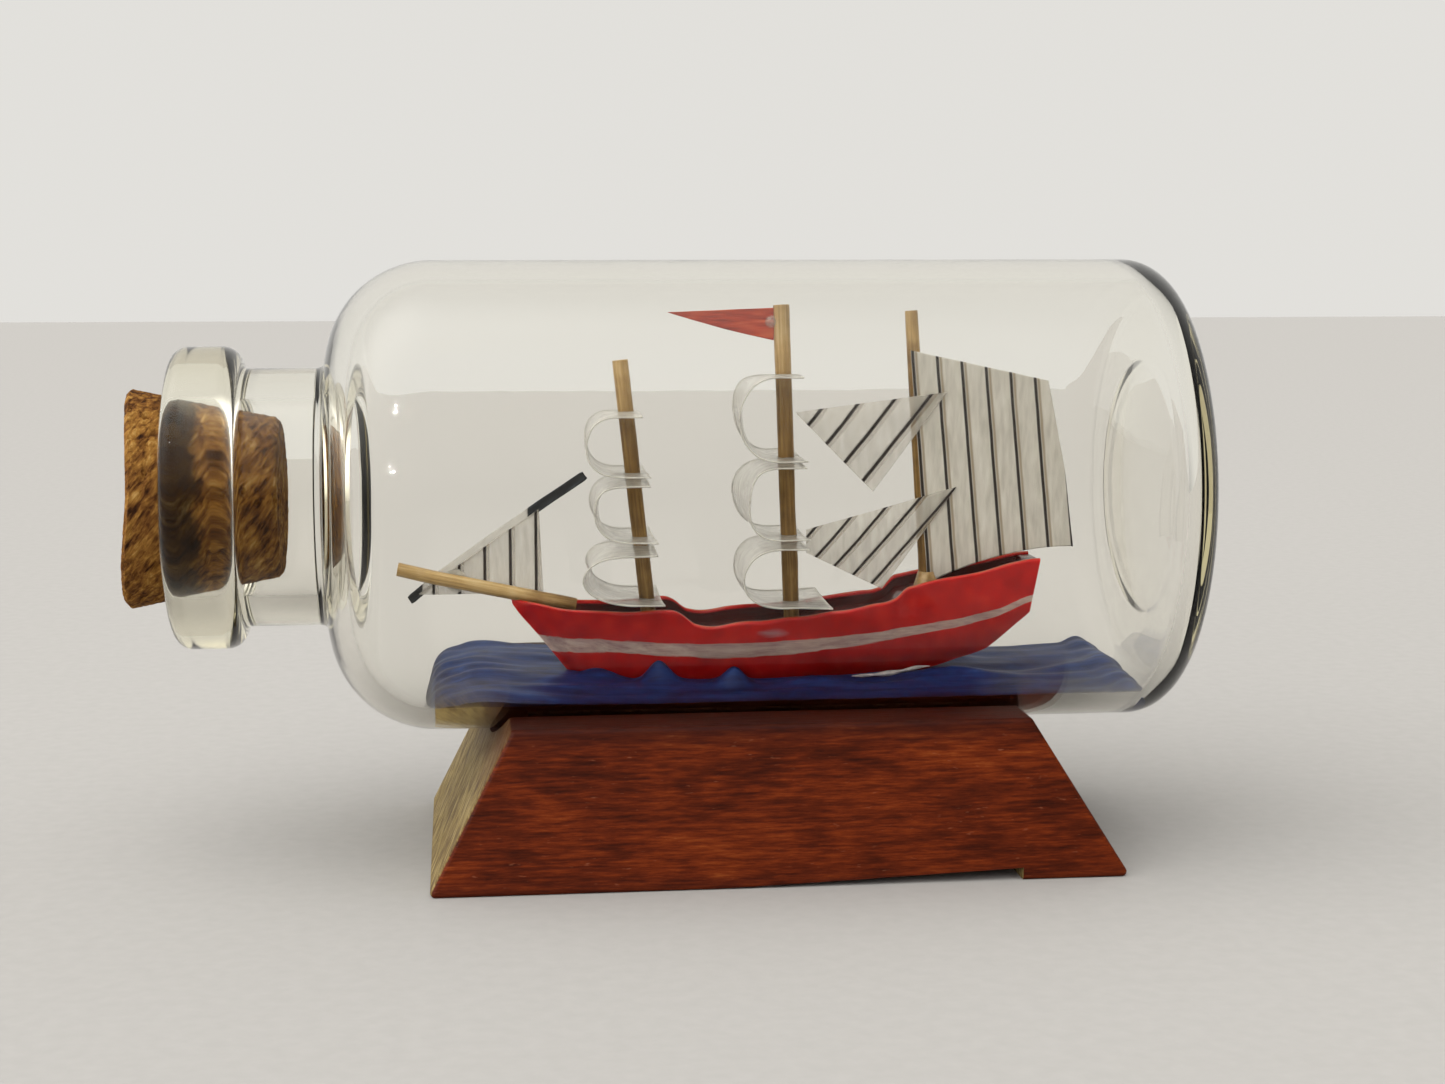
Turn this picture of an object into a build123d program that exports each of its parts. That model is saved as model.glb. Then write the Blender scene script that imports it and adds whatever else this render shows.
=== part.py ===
from build123d import *
import math
import os

os.makedirs("parts", exist_ok=True)

# A small three-masted ship in a corked glass vial that lies in a cradle of stained wood.
# Millimetres. The origin is on the stand's flat underside, midway along the overall length.
# +X runs along the bottle from its mouth to its base, and +Z is up. The bottle's own sections are
# drawn as distance along X against radius, on a plane that holds the bottle's axis.

# ---------------------------------------------------------------- driving dimensions
overall_length = 67.0
axis_z = 23.2  # height of the bottle's axis above the table

# bottle
body_r = 15.0
wall = 1.3
base_x = overall_length / 2
mouth_x = -30.5
base_thick = 1.5
base_round = 2.8
base_inner_round = 1.7
punt_r = 8.5  # the shallow push-up in the base
punt_depth = 0.9
punt_sphere_r = (punt_r**2 + punt_depth**2) / (2 * punt_depth)
punt_angle = math.degrees(math.asin(punt_r / punt_sphere_r))
neck_r = 8.2
bore_r = 6.3
lip_r = 9.6
lip_length = 4.4
lip_round = 1.1
mouth_round = 1.0
neck_round = 0.6
shoulder_x = -14.1  # where the shoulder's arc runs into the straight body
shoulder_r = body_r - neck_r

# cork
cork_x = -overall_length / 2
cork_length = 9.8
cork_big_r = 7.03
cork_small_r = 5.12
cork_round = 0.35

# stand
stand_height = 10.25
stand_depth = 24.0
stand_top_x = (-9.7, 22.3)
stand_foot_x = (-14.9, 28.8)
stand_round = 0.3
relief_x = (1.5, 21.9)  # the sawn relief under the stand, and its depth at the deep end
relief_depth = 0.8
glue_gap = 0.25  # the glue bed between bottle and groove
glue_half_width = 5.6
glue_x = (-8.5, 22.3)

# putty sea
sea_gap = 0.03
sea_level = 11.3

# hull
bulwark_height = 0.75
deck_share = 0.82  # the deck well's width as a share of the hull's
keel_z = 10.4
hull_half_width = 5.0  # room for every cut across the hull
above_hull_z = 20.0
fit_gap = 0.03  # round gap between a spar and the hole it passes through

# spars: foot point and top point as (x, z), and radius
foremast_line = ((-0.30, 13.6), (-2.24, 31.8), 0.52)
mainmast_line = ((8.96, 13.6), (8.18, 35.3), 0.54)
mizzen_line = ((17.94, 15.6), (16.69, 34.9), 0.44)
bowsprit_line = ((-5.2, 15.86), (-16.9, 18.4), 0.46)

# sails
film = 0.10  # thickness of the sail film
square_width = 7.5
tab = 0.9  # how far a square sail's ends run on behind its mast
bow_start = 0.6  # how far in front of the mast a square sail starts to bow
pennant_thick = 0.12
stay_thick = 0.2  # the black strip that the jib hangs from
stay_width = 0.65

# glue
wedge_foot_r = 0.95  # the wedge round the mizzenmast
wedge_top_r = 0.55
wedge_height = 1.3
wedge_z = 17.1
pennant_drop_r = 0.42
jib_drop_r = 0.75
bead_r = 0.35

# ---------------------------------------------------------------- planes
axis_plane = Plane(origin=(0, 0, axis_z), x_dir=(1, 0, 0), z_dir=(0, -1, 0))
bottle_axis = Axis((0, 0, axis_z), (1, 0, 0))


def round_corner(sketch, x, y, radius):
    """Rounds the sketch's corner nearest to (x, y)."""
    fillet(sketch.vertices().sort_by_distance(Vector(x, y, 0))[0], radius)


def cavity_section(gap):
    """Half section of the space inside the bottle, drawn in by gap from the glass."""
    floor_x = base_x - base_thick - gap
    inner_r = body_r - wall - gap
    throat_x = shoulder_x - shoulder_r + wall + gap
    with BuildSketch() as section:
        with BuildLine():
            Polyline(
                (mouth_x - 1, 0),
                (mouth_x - 1, bore_r - gap),
                (throat_x, bore_r - gap),
                (throat_x, neck_r),
            )
            CenterArc((shoulder_x, neck_r), inner_r - neck_r, 90, 90)
            Line((shoulder_x, inner_r), (floor_x, inner_r))
            Line((floor_x, inner_r), (floor_x, punt_r))
            CenterArc((floor_x - punt_depth + punt_sphere_r, 0), punt_sphere_r, 180, -punt_angle)
            Line((floor_x - punt_depth, 0), (mouth_x - 1, 0))
        make_face()
        round_corner(section, floor_x, inner_r, base_inner_round)
        round_corner(section, throat_x, bore_r, neck_round)
    return section.sketch


# ---------------------------------------------------------------- bottle
# Clear glass, turned about its axis: rolled lip, thick neck, round shoulder, pushed-up base.
with BuildPart() as bottle:
    with BuildSketch(axis_plane) as glass:
        with BuildLine():
            Polyline(
                (mouth_x, 0),
                (mouth_x, lip_r),
                (mouth_x + lip_length, lip_r),
                (mouth_x + lip_length, neck_r),
                (shoulder_x - shoulder_r, neck_r),
            )
            CenterArc((shoulder_x, neck_r), shoulder_r, 90, 90)
            Polyline((shoulder_x, body_r), (base_x, body_r), (base_x, punt_r))
            CenterArc((base_x - punt_depth + punt_sphere_r, 0), punt_sphere_r, 180, -punt_angle)
            Line((base_x - punt_depth, 0), (mouth_x, 0))
        make_face()
        round_corner(glass, base_x, body_r, base_round)
        round_corner(glass, mouth_x, lip_r, lip_round)
        round_corner(glass, mouth_x + lip_length, lip_r, lip_round)
        round_corner(glass, mouth_x + lip_length, neck_r, lip_round / 5)
        round_corner(glass, shoulder_x - shoulder_r, neck_r, neck_round)
        add(cavity_section(0), mode=Mode.SUBTRACT)
        round_corner(glass, mouth_x, bore_r, mouth_round)
    revolve(axis=bottle_axis)
bottle.part.label = "bottle"
export_step(bottle.part, "parts/bottle.step")

# ---------------------------------------------------------------- cork
# One tapered plug that wedges in the mouth and stands about 3 mm proud of the lip.
with BuildPart() as cork:
    with BuildSketch(axis_plane) as plug:
        Polygon(
            (cork_x, 0),
            (cork_x, cork_big_r),
            (cork_x + cork_length, cork_small_r),
            (cork_x + cork_length, 0),
            align=None,
        )
        round_corner(plug, cork_x, cork_big_r, cork_round)
        round_corner(plug, cork_x + cork_length, cork_small_r, cork_round)
    revolve(axis=bottle_axis)
cork.part.label = "cork"
export_step(cork.part, "parts/cork.step")

# ---------------------------------------------------------------- stand
# One block with sloping ends, a concave cradle along its top and a shallow relief underneath.
with BuildPart() as stand:
    with BuildSketch(Plane.XZ):
        Polygon(
            (stand_foot_x[0], 0),
            (stand_foot_x[1], 0),
            (stand_top_x[1], stand_height),
            (stand_top_x[0], stand_height),
            align=None,
        )
    extrude(amount=stand_depth / 2, both=True)
    fillet(stand.edges(), stand_round)
    with BuildSketch(Plane.XZ):
        Polygon(
            (relief_x[0], 0),
            (relief_x[1], 0),
            (relief_x[1], relief_depth),
            align=None,
        )
    extrude(amount=stand_depth, both=True, mode=Mode.SUBTRACT)
    with BuildSketch(Plane.YZ.offset(-overall_length / 2)):
        with Locations((0, axis_z)):
            Circle(body_r + glue_gap)
    extrude(amount=overall_length, mode=Mode.SUBTRACT)
stand.part.label = "stand"
export_step(stand.part, "parts/stand.step")

# The glue bed: a thin curved pad that fills the gap between the cradle and the glass.
with BuildPart() as stand_glue:
    with BuildSketch(Plane.YZ.offset(glue_x[0])):
        with Locations((0, axis_z)):
            Circle(body_r + glue_gap - 0.01)
            Circle(body_r + 0.01, mode=Mode.SUBTRACT)
        with Locations((0, axis_z - body_r)):
            Rectangle(2 * glue_half_width, body_r, mode=Mode.INTERSECT)
    extrude(amount=glue_x[1] - glue_x[0])
stand_glue.part.label = "stand_glue"
export_step(stand_glue.part, "parts/stand_glue.step")


# ---------------------------------------------------------------- spars
def spar(line, grow=0.0):
    """A round stick along line, grown by grow in radius."""
    foot, top, radius = line
    base = Vector(foot[0], 0, foot[1])
    along = Vector(top[0], 0, top[1]) - base
    with BuildPart() as stick:
        with BuildSketch(Plane(origin=base, x_dir=(0, 1, 0), z_dir=along)):
            Circle(radius + grow)
        extrude(amount=along.length)
    return stick


for spar_name, line in (
    ("foremast", foremast_line),
    ("mainmast", mainmast_line),
    ("mizzenmast", mizzen_line),
    ("bowsprit", bowsprit_line),
):
    stick = spar(line)
    with BuildPart() as finished:
        add(stick.part)
        chamfer(finished.edges().filter_by(GeomType.CIRCLE), 0.08)
    finished.part.label = spar_name
    export_step(finished.part, f"parts/{spar_name}.step")

# ---------------------------------------------------------------- hull
# Carved from one block: raked stem, hollowed decks that follow the stepped sheer, raked transom.
sheer = (
    (-9.4, 16.35),
    (-5.0, 15.75),
    (0.7, 15.8),
    (2.4, 15.0),
    (8.0, 15.3),
    (15.2, 16.15),
    (17.0, 17.2),
    (25.1, 18.7),
)
sheer_rounds = (3.0, 0.9, 0.9, 3.0, 0.9, 0.9)
# Half breadths as (x, y), at the keel and at plan_top_z, just above the highest rail.
plan_top_z = 19.5
rail_plan = ((-9.4, 0.05), (-7.5, 1.7), (-4.0, 3.0), (1.0, 3.7), (8.0, 4.0), (17.0, 2.9), (25.1, 2.0))
keel_plan = ((-9.4, 0.02), (-7.5, 0.5), (-4.0, 1.3), (1.0, 1.9), (8.0, 2.2), (17.0, 1.7), (25.1, 1.1))


def plan_outline(half_breadths, share=1.0):
    """Closed plan of the hull from a share of its half breadths, mirrored about the keel line."""
    side = [(x, y * share) for x, y in half_breadths]
    with BuildSketch() as plan:
        with BuildLine():
            Spline(*side)
            Line(side[-1], (side[-1][0], -side[-1][1]))
            Spline(*[(x, -y) for x, y in side])
            Line(side[0], (side[0][0], -side[0][1]))
        make_face()
    return plan.sketch


def above_line(points, rounds, top_z):
    """The face between a rounded line of (x, z) points and the level top_z."""
    with BuildSketch() as region:
        with BuildLine():
            Polyline(*points, (points[-1][0], top_z), (points[0][0], top_z), close=True)
        make_face()
        for (x, z), radius in zip(points[1:-1], rounds):
            round_corner(region, x, z, radius)
    return Plane.XZ * region.sketch


deck = [(x, z - bulwark_height) for x, z in sheer]
deck[0] = (-6.6, deck[0][1] - 0.3)
deck[-1] = (24.4, deck[-1][1] - 0.12)
with BuildPart() as inside_sides:
    with BuildSketch(Plane.XY.offset(keel_z)):
        add(plan_outline(keel_plan, deck_share))
    with BuildSketch(Plane.XY.offset(plan_top_z)):
        add(plan_outline(rail_plan, deck_share))
    loft()

with BuildPart() as hull:
    with BuildSketch(Plane.XY.offset(keel_z)):
        add(plan_outline(keel_plan))
    with BuildSketch(Plane.XY.offset(plan_top_z)):
        add(plan_outline(rail_plan))
    loft()
    with BuildSketch(Plane.XZ):
        with BuildLine():
            Spline((-9.4, 16.35), (-8.6, 15.0), (-6.9, 12.9), (-5.5, 11.3), (-3.7, keel_z))
            Polyline((-3.7, keel_z), (14.5, keel_z), (18.0, 11.3), (22.0, 12.7), (24.5, 15.1))
            Polyline((24.5, 15.1), (25.1, 18.7), (25.1, 19.5), (-9.4, 19.5), (-9.4, 16.35))
        make_face()
    extrude(amount=hull_half_width, both=True, mode=Mode.INTERSECT)
    over_sheer = above_line(sheer, sheer_rounds, above_hull_z)
    extrude(over_sheer, amount=hull_half_width, both=True, mode=Mode.SUBTRACT)
    over_deck = above_line(deck, sheer_rounds, above_hull_z)
    well = extrude(over_deck, amount=hull_half_width, both=True, mode=Mode.PRIVATE)
    add(well & inside_sides.part, mode=Mode.SUBTRACT)
    for line in (foremast_line, mainmast_line, mizzen_line, bowsprit_line):
        add(spar(line, fit_gap).part, mode=Mode.SUBTRACT)
hull.part.label = "hull"
export_step(hull.part, "parts/hull.step")

# ---------------------------------------------------------------- sea
# Putty pressed along the bottom of the bottle, with the hull bedded in it.
sea_top = (
    (-15.2, 9.0),
    (-14.2, 11.6),
    (-6.0, 11.6),
    (3.0, sea_level),
    (15.0, sea_level),
    (26.0, 11.0),
    (31.0, 11.4),
    (31.6, 9.0),
)
sea_rounds = (1.2, 12.0, 20.0, 20.0, 12.0, 0.6)
sea_bed_z = 7.5  # below the glass, which trims the putty
with BuildPart() as sea:
    with BuildSketch(Plane.XZ) as putty:
        with BuildLine():
            Polyline(*sea_top, (sea_top[-1][0], sea_bed_z), (sea_top[0][0], sea_bed_z), close=True)
        make_face()
        for (x, z), radius in zip(sea_top[1:-1], sea_rounds):
            round_corner(putty, x, z, radius)
    extrude(amount=body_r, both=True)
    revolve(axis_plane * cavity_section(sea_gap), axis=bottle_axis, mode=Mode.INTERSECT)
    add(hull.part, mode=Mode.SUBTRACT)
sea.part.label = "sea"
export_step(sea.part, "parts/sea.step")


# ---------------------------------------------------------------- square sails
def mast_x(line, z):
    """Where a mast's centre line is at height z."""
    (foot_x, foot_z), (top_x, top_z), _ = line
    return foot_x + (top_x - foot_x) * (z - foot_z) / (top_z - foot_z)


def square_sail(line, top_z, low_z, belly, low_tab=tab):
    """A strip of film bowed forward in a C between two holes that the mast passes through."""
    middle_z = (top_z + low_z) / 2
    top_x = mast_x(line, top_z)
    low_x = mast_x(line, low_z)
    with BuildPart() as sail:
        with BuildSketch(Plane.XZ):
            with BuildLine():
                Line((top_x + tab, top_z), (top_x - bow_start, top_z))
                bow = ThreePointArc(
                    (top_x - bow_start, top_z),
                    (mast_x(line, middle_z) - belly, middle_z),
                    (low_x - bow_start, low_z),
                )
                Line(bow @ 1, (low_x + low_tab, low_z))
                offset(amount=film, side=Side.RIGHT)
            make_face()
        extrude(amount=square_width / 2, both=True)
        add(spar(line, fit_gap).part, mode=Mode.SUBTRACT)
    return sail


for sail_name, line, top_z, low_z, belly, low_tab in (
    ("fore_upper_sail", foremast_line, 28.4, 24.5, 2.6, tab),
    ("fore_middle_sail", foremast_line, 24.1, 20.3, 2.6, tab),
    ("fore_lower_sail", foremast_line, 19.7, 16.3, 3.6, tab),
    ("main_upper_sail", mainmast_line, 30.8, 25.4, 3.0, tab),
    ("main_middle_sail", mainmast_line, 25.1, 20.3, 3.0, tab),
    ("main_lower_sail", mainmast_line, 19.9, 15.9, 3.2, 2.2),
):
    sail = square_sail(line, top_z, low_z, belly, low_tab)
    sail.part.label = sail_name
    export_step(sail.part, f"parts/{sail_name}.step")


# ---------------------------------------------------------------- flat sails and pennant
def flat_film(corners, near_y, thick=film):
    """A flat piece of film with the given (x, z) corners, its near face at near_y."""
    with BuildPart() as sheet:
        with BuildSketch(Plane.XZ.offset(-near_y)):
            Polygon(*corners, align=None)
        extrude(amount=-thick)
    return sheet


for film_name, corners, near_y, thick in (
    (
        "jib",
        ((-15.5, 16.6), (-7.5, 22.15), (-7.25, 16.6)),
        0.60,
        film,
    ),
    (
        "upper_staysail",
        ((9.08, 28.35), (19.0, 29.6), (14.15, 23.1)),
        -0.75,
        film,
    ),
    (
        "lower_staysail",
        ((9.75, 20.75), (19.7, 23.4), (14.8, 16.7), (9.75, 19.15)),
        -0.75,
        film,
    ),
    (
        "spanker",
        ((16.58, 32.3), (25.2, 30.4), (25.75, 30.3), (27.0, 24.3), (27.7, 19.5), (21.2, 18.2), (17.9, 17.0)),
        -0.56,
        film,
    ),
    (
        "pennant",
        ((0.8, 34.85), (7.60, 35.1), (7.66, 33.0)),
        -pennant_thick / 2,
        pennant_thick,
    ),
):
    sheet = flat_film(corners, near_y, thick)
    sheet.part.label = film_name
    export_step(sheet.part, f"parts/{film_name}.step")
    if film_name == "pennant":
        pennant = sheet

# The flat black strip behind the jib's leading edge, longer than the film at both ends.
with BuildPart() as jib_stay:
    stay_low = Vector(-16.1, 0.72, 16.2)
    stay_high = Vector(-4.5, 0.72, 24.3)
    stay_way = stay_high - stay_low
    with BuildSketch(Plane(origin=stay_low, x_dir=(0, 1, 0), z_dir=stay_way)):
        with Locations((stay_thick / 2, 0)):
            Rectangle(stay_thick, stay_width)
    extrude(amount=stay_way.length)
jib_stay.part.label = "jib_stay"
export_step(jib_stay.part, "parts/jib_stay.step")

# ---------------------------------------------------------------- glue
# The tan wedge round the mizzenmast's foot, slit by the corner of the spanker.
with BuildPart() as mizzen_glue:
    with Locations((mast_x(mizzen_line, wedge_z), -0.2, wedge_z)):
        Cone(wedge_foot_r, wedge_top_r, wedge_height)
    add(hull.part, mode=Mode.SUBTRACT)
    add(spar(mizzen_line, fit_gap).part, mode=Mode.SUBTRACT)
    add(flat_film(((17.8, 16), (17.75, 18), (20, 18), (20, 16)), -0.58, 0.14).part, mode=Mode.SUBTRACT)
mizzen_glue.part.label = "mizzen_glue"
export_step(mizzen_glue.part, "parts/mizzen_glue.step")

# The glossy drop that holds the pennant to the mainmast.
with BuildPart() as pennant_glue:
    with Locations((7.55, 0, 34.2)):
        Sphere(pennant_drop_r)
    add(spar(mainmast_line).part, mode=Mode.SUBTRACT)
    add(pennant.part, mode=Mode.SUBTRACT)
pennant_glue.part.label = "pennant_glue"
export_step(pennant_glue.part, "parts/pennant_glue.step")

# The glossy drop that holds the jib and its strip to the bowsprit.
with BuildPart() as jib_glue:
    with BuildSketch(Plane.XZ.offset(-0.1)):
        with Locations((-12.9, 17.55)):
            Circle(jib_drop_r)
    extrude(amount=-0.5)
    add(spar(bowsprit_line).part, mode=Mode.SUBTRACT)
jib_glue.part.label = "jib_glue"
export_step(jib_glue.part, "parts/jib_glue.step")

# The whitish glue line squeezed out between the hull's near side and the putty.
with BuildPart() as hull_glue:
    bead_start = Vector(12.8, -2.2, 11.35)
    bead_end = Vector(17.4, -2.1, 11.5)
    bead_way = bead_end - bead_start
    with BuildSketch(Plane(origin=bead_start, x_dir=(0, 1, 0), z_dir=bead_way)):
        Circle(bead_r)
    extrude(amount=bead_way.length)
    add(hull.part, mode=Mode.SUBTRACT)
    add(sea.part, mode=Mode.SUBTRACT)
hull_glue.part.label = "hull_glue"
export_step(hull_glue.part, "parts/hull_glue.step")
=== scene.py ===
import math

import bmesh
import bpy
import mathutils
import numpy as np
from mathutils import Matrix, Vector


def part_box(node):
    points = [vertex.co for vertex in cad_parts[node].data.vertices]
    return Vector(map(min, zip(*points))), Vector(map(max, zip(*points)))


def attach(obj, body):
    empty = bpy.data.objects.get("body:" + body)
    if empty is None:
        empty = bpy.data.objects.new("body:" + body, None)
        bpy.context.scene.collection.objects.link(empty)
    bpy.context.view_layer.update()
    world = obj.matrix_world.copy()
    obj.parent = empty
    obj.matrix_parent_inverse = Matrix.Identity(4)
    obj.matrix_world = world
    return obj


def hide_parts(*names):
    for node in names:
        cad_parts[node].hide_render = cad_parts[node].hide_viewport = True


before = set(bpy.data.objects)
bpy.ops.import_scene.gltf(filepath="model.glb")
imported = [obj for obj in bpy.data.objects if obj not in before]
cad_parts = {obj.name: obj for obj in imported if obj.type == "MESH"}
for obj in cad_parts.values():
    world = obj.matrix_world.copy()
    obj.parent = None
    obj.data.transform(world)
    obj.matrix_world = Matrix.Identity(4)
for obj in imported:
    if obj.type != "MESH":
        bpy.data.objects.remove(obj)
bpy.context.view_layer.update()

# ------------------------------------------------------------------ stand
# One sawn block of soft wood, wiped with a mahogany stain that soaks in unevenly, so the long faces
# are mottled red-brown over a fine lengthwise grain. Its left end is rough and hardly took the stain.
MM = 0.001
stand_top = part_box("stand")[1][2]


def hex_colour(code):
    """Linear RGBA of an sRGB hex colour."""
    srgb = np.array([int(code[i : i + 2], 16) for i in (0, 2, 4)]) / 255
    linear = np.where(srgb <= 0.04045, srgb / 12.92, ((srgb + 0.055) / 1.055) ** 2.4)
    return (*linear.tolist(), 1.0)


def add_node(tree, kind, inputs=None, stops=None, **settings):
    """Adds a node. Its settings are properties, stops are a ramp's colours, and inputs are values or other
    nodes' outputs, where a node alone stands for its first. A Mix of colours takes 6 and 7 and gives 2."""
    made = tree.nodes.new("ShaderNode" + kind)
    for key, value in settings.items():
        setattr(made, key, value)
    for key, value in (inputs or {}).items():
        if isinstance(value, bpy.types.Node):
            value = value.outputs[0]
        if isinstance(value, bpy.types.NodeSocket):
            tree.links.new(value, made.inputs[key])
        else:
            made.inputs[key].default_value = value
    if stops:
        ramp = made.color_ramp.elements
        while len(ramp) < len(stops):
            ramp.new(0.5)
        for element, (place, code) in zip(ramp, stops):
            element.position = place
            element.color = hex_colour(code)
    return made


def new_material(name):
    """An empty node material and its tree."""
    made = bpy.data.materials.new(name)
    made.use_nodes = True
    made.node_tree.nodes.clear()
    return made, made.node_tree


def finish_material(tree, shader, volume=None):
    """Sends a shader, and a volume where there is one, to the material's output."""
    inputs = {"Surface": shader}
    if volume:
        inputs["Volume"] = volume
    add_node(tree, "OutputMaterial", inputs)


def stained_wood():
    """Softwood under a wiped mahogany stain: satin, with dark pores along X and painted shade at its edges.
    """
    made, tree = new_material("mahogany_stained_softwood")
    place = add_node(tree, "TexCoord")
    # Pores are about 0.2 mm wide and 2 mm long; stain blotches are about 4 mm.
    along = add_node(tree, "Mapping", {"Vector": place.outputs["Object"], "Scale": (420, 4200, 4200)})
    grain = add_node(tree, "TexNoise", {"Vector": along, "Scale": 1, "Detail": 7, "Roughness": 0.68})
    blotch_space = add_node(tree, "Mapping", {"Vector": place.outputs["Object"],
                                              "Scale": (140, 320, 320)})
    blotch = add_node(tree, "TexNoise", {"Vector": blotch_space, "Scale": 1, "Detail": 5,
                                         "Roughness": 0.6, "Distortion": 0.4})
    speck_space = add_node(tree, "Mapping", {"Vector": place.outputs["Object"],
                                             "Scale": (1100, 4200, 4200)})
    speck = add_node(tree, "TexNoise", {"Vector": speck_space, "Scale": 1, "Detail": 2})
    both = add_node(tree, "Mix", {0: 0.40, 2: grain, 3: blotch}, data_type="FLOAT")
    stain = add_node(tree, "ValToRGB", {"Fac": both},
                     [(0.34, "2E0C02"), (0.44, "491703"), (0.51, "5E2005"), (0.58, "732C09"),
                      (0.70, "92481A")])
    flecks = add_node(tree, "MapRange", {0: speck, 1: 0.70, 2: 0.80, 3: 0, 4: 0.35})
    flecked = add_node(tree, "Mix", {0: flecks, 6: stain, 7: hex_colour("A8694C")}, data_type="RGBA")
    # Painted shade: the wood is darkened along the cradle's edge, in the bottle's shadow, and along the
    # foot of the long faces.
    parts = add_node(tree, "SeparateXYZ", {0: place.outputs["Object"]})
    edge = add_node(tree, "MapRange", {0: parts.outputs["Z"], 1: stand_top - 1.6 * MM,
                                       2: stand_top - 0.1 * MM, 3: 0, 4: 0.8})
    foot = add_node(tree, "MapRange", {0: parts.outputs["Z"], 1: 1.2 * MM, 2: 0.0, 3: 0, 4: 0.45})
    shade_mask = add_node(tree, "Math", {0: edge, 1: foot}, operation="MAXIMUM")
    shade_mottled = add_node(tree, "Math", {0: shade_mask, 1: blotch}, operation="MULTIPLY")
    shade_amount = add_node(tree, "Math", {0: shade_mottled, 1: 1.7}, operation="MULTIPLY", use_clamp=True)
    shaded = add_node(tree, "Mix", {0: shade_amount, 6: flecked.outputs[2], 7: hex_colour("260A06")},
                    data_type="RGBA")
    # The rough left end: tan end grain with diagonal fibres 0.3 mm wide, soaked with stain near the top.
    turn = add_node(tree, "Mapping", {"Vector": place.outputs["Object"],
                                      "Rotation": (math.radians(38), 0, 0),
                                      "Scale": (0.002, 0.0021, 0.0003)}, vector_type="TEXTURE")
    fibre = add_node(tree, "TexNoise", {"Vector": turn, "Scale": 1, "Detail": 5, "Roughness": 0.7})
    raw = add_node(tree, "ValToRGB", {"Fac": fibre},
                   [(0.28, "2E2114"), (0.42, "6B5636"), (0.55, "94804F"), (0.70, "B7A47A")])
    soaked = add_node(tree, "MapRange", {0: parts.outputs["Z"], 1: stand_top - 4.6 * MM,
                                         2: stand_top - 1.4 * MM, 3: 0, 4: 0.75})
    rimmed = add_node(tree, "Mix", {0: soaked, 6: raw, 7: hex_colour("4E1F0C")}, data_type="RGBA")
    facing = add_node(tree, "SeparateXYZ", {0: place.outputs["Normal"]})
    left_end = add_node(tree, "MapRange", {0: facing.outputs["X"], 1: -0.55, 2: -0.8, 3: 0, 4: 1})
    colour = add_node(tree, "Mix", {0: left_end, 6: shaded.outputs[2], 7: rimmed.outputs[2]},
                      data_type="RGBA")
    relief = add_node(tree, "Mix", {0: left_end, 2: grain, 3: fibre}, data_type="FLOAT")
    bump = add_node(tree, "Bump", {"Strength": 0.4, "Distance": 0.0001, "Height": relief})
    gloss = add_node(tree, "MapRange", {0: both, 1: 0.35, 2: 0.65, 3: 0.48, 4: 0.66})
    shader = add_node(tree, "BsdfPrincipled", {"Base Color": colour.outputs[2], "Roughness": gloss,
                                               "IOR": 1.5, "Specular IOR Level": 0.08, "Normal": bump})
    finish_material(tree, shader)
    return made


def dress(node, material):
    """Gives a CAD node's object one material."""
    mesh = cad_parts[node].data
    mesh.materials.clear()
    mesh.materials.append(material)


dress("stand", stained_wood())

# ------------------------------------------------------------------ glue
# Clear craft glue: the bed that fills the gap between cradle and glass, the drops that hold the pennant
# and the jib, and the milky bead along the hull. The wedge at the mizzen's foot is tan wood glue.


def dried_glue(name, clear_code, cloudy_code, alpha):
    """Glue dried in place: glossy and half clear, clouded in lumps of about half a millimetre."""
    made, tree = new_material(name)
    place = add_node(tree, "TexCoord")
    cloud = add_node(tree, "TexNoise", {"Vector": place.outputs["Object"], "Scale": 1900, "Detail": 3})
    tint = add_node(tree, "ValToRGB", {"Fac": cloud}, [(0.35, clear_code), (0.65, cloudy_code)])
    bump = add_node(tree, "Bump", {"Strength": 0.35, "Distance": 0.0001, "Height": cloud})
    shader = add_node(tree, "BsdfPrincipled", {"Base Color": tint, "Roughness": 0.16, "IOR": 1.48,
                                               "Alpha": alpha, "Normal": bump})
    finish_material(tree, shader)
    return made


clear_glue = dried_glue("clear_craft_glue", "CFC9BC", "F2EFE6", 0.55)
dress("stand_glue", dried_glue("glue_bed_over_stain", "2C120B", "6E4634", 0.9))
dress("pennant_glue", dried_glue("thin_clear_glue", "D9D2C4", "F6F3EA", 0.3))
dress("jib_glue", clear_glue)
milky_glue = dried_glue("milky_glue_bead", "B9B4B8", "E7DCDD", 0.8)
dress("mizzen_glue", dried_glue("tan_wood_glue", "8A6A3E", "C2A069", 1.0))

# ------------------------------------------------------------------ sea
# Blue modelling putty pressed along the bottom of the bottle and stroked lengthwise with a stick, so
# its top is ribbed, laps up against the hull, and its underside is squeezed flat to the glass.
bottle_low, bottle_high = (np.array(corner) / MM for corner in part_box("bottle"))
axis_z = (bottle_low[2] + bottle_high[2]) / 2
body_r = (bottle_high[2] - bottle_low[2]) / 2
wall = 1.3
shoulder_x = bottle_low[0] + 16.4
neck_r = 8.2
putty_gap = 0.05


def rough(points, wavelength, seed, waves=28):
    """Unevenness of about -1 to 1: a scaled sum of sine waves of random direction, phase and length."""
    draw = np.random.default_rng(seed)
    direction = draw.normal(size=(waves, 3))
    direction /= np.linalg.norm(direction, axis=1)[:, None]
    number = 2 * np.pi / (wavelength * draw.uniform(0.7, 1.6, waves))
    phase = draw.uniform(0, 2 * np.pi, waves)
    total = np.sin(points @ (direction * number[:, None]).T + phase).sum(axis=-1)
    return total / math.sqrt(waves)


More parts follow.
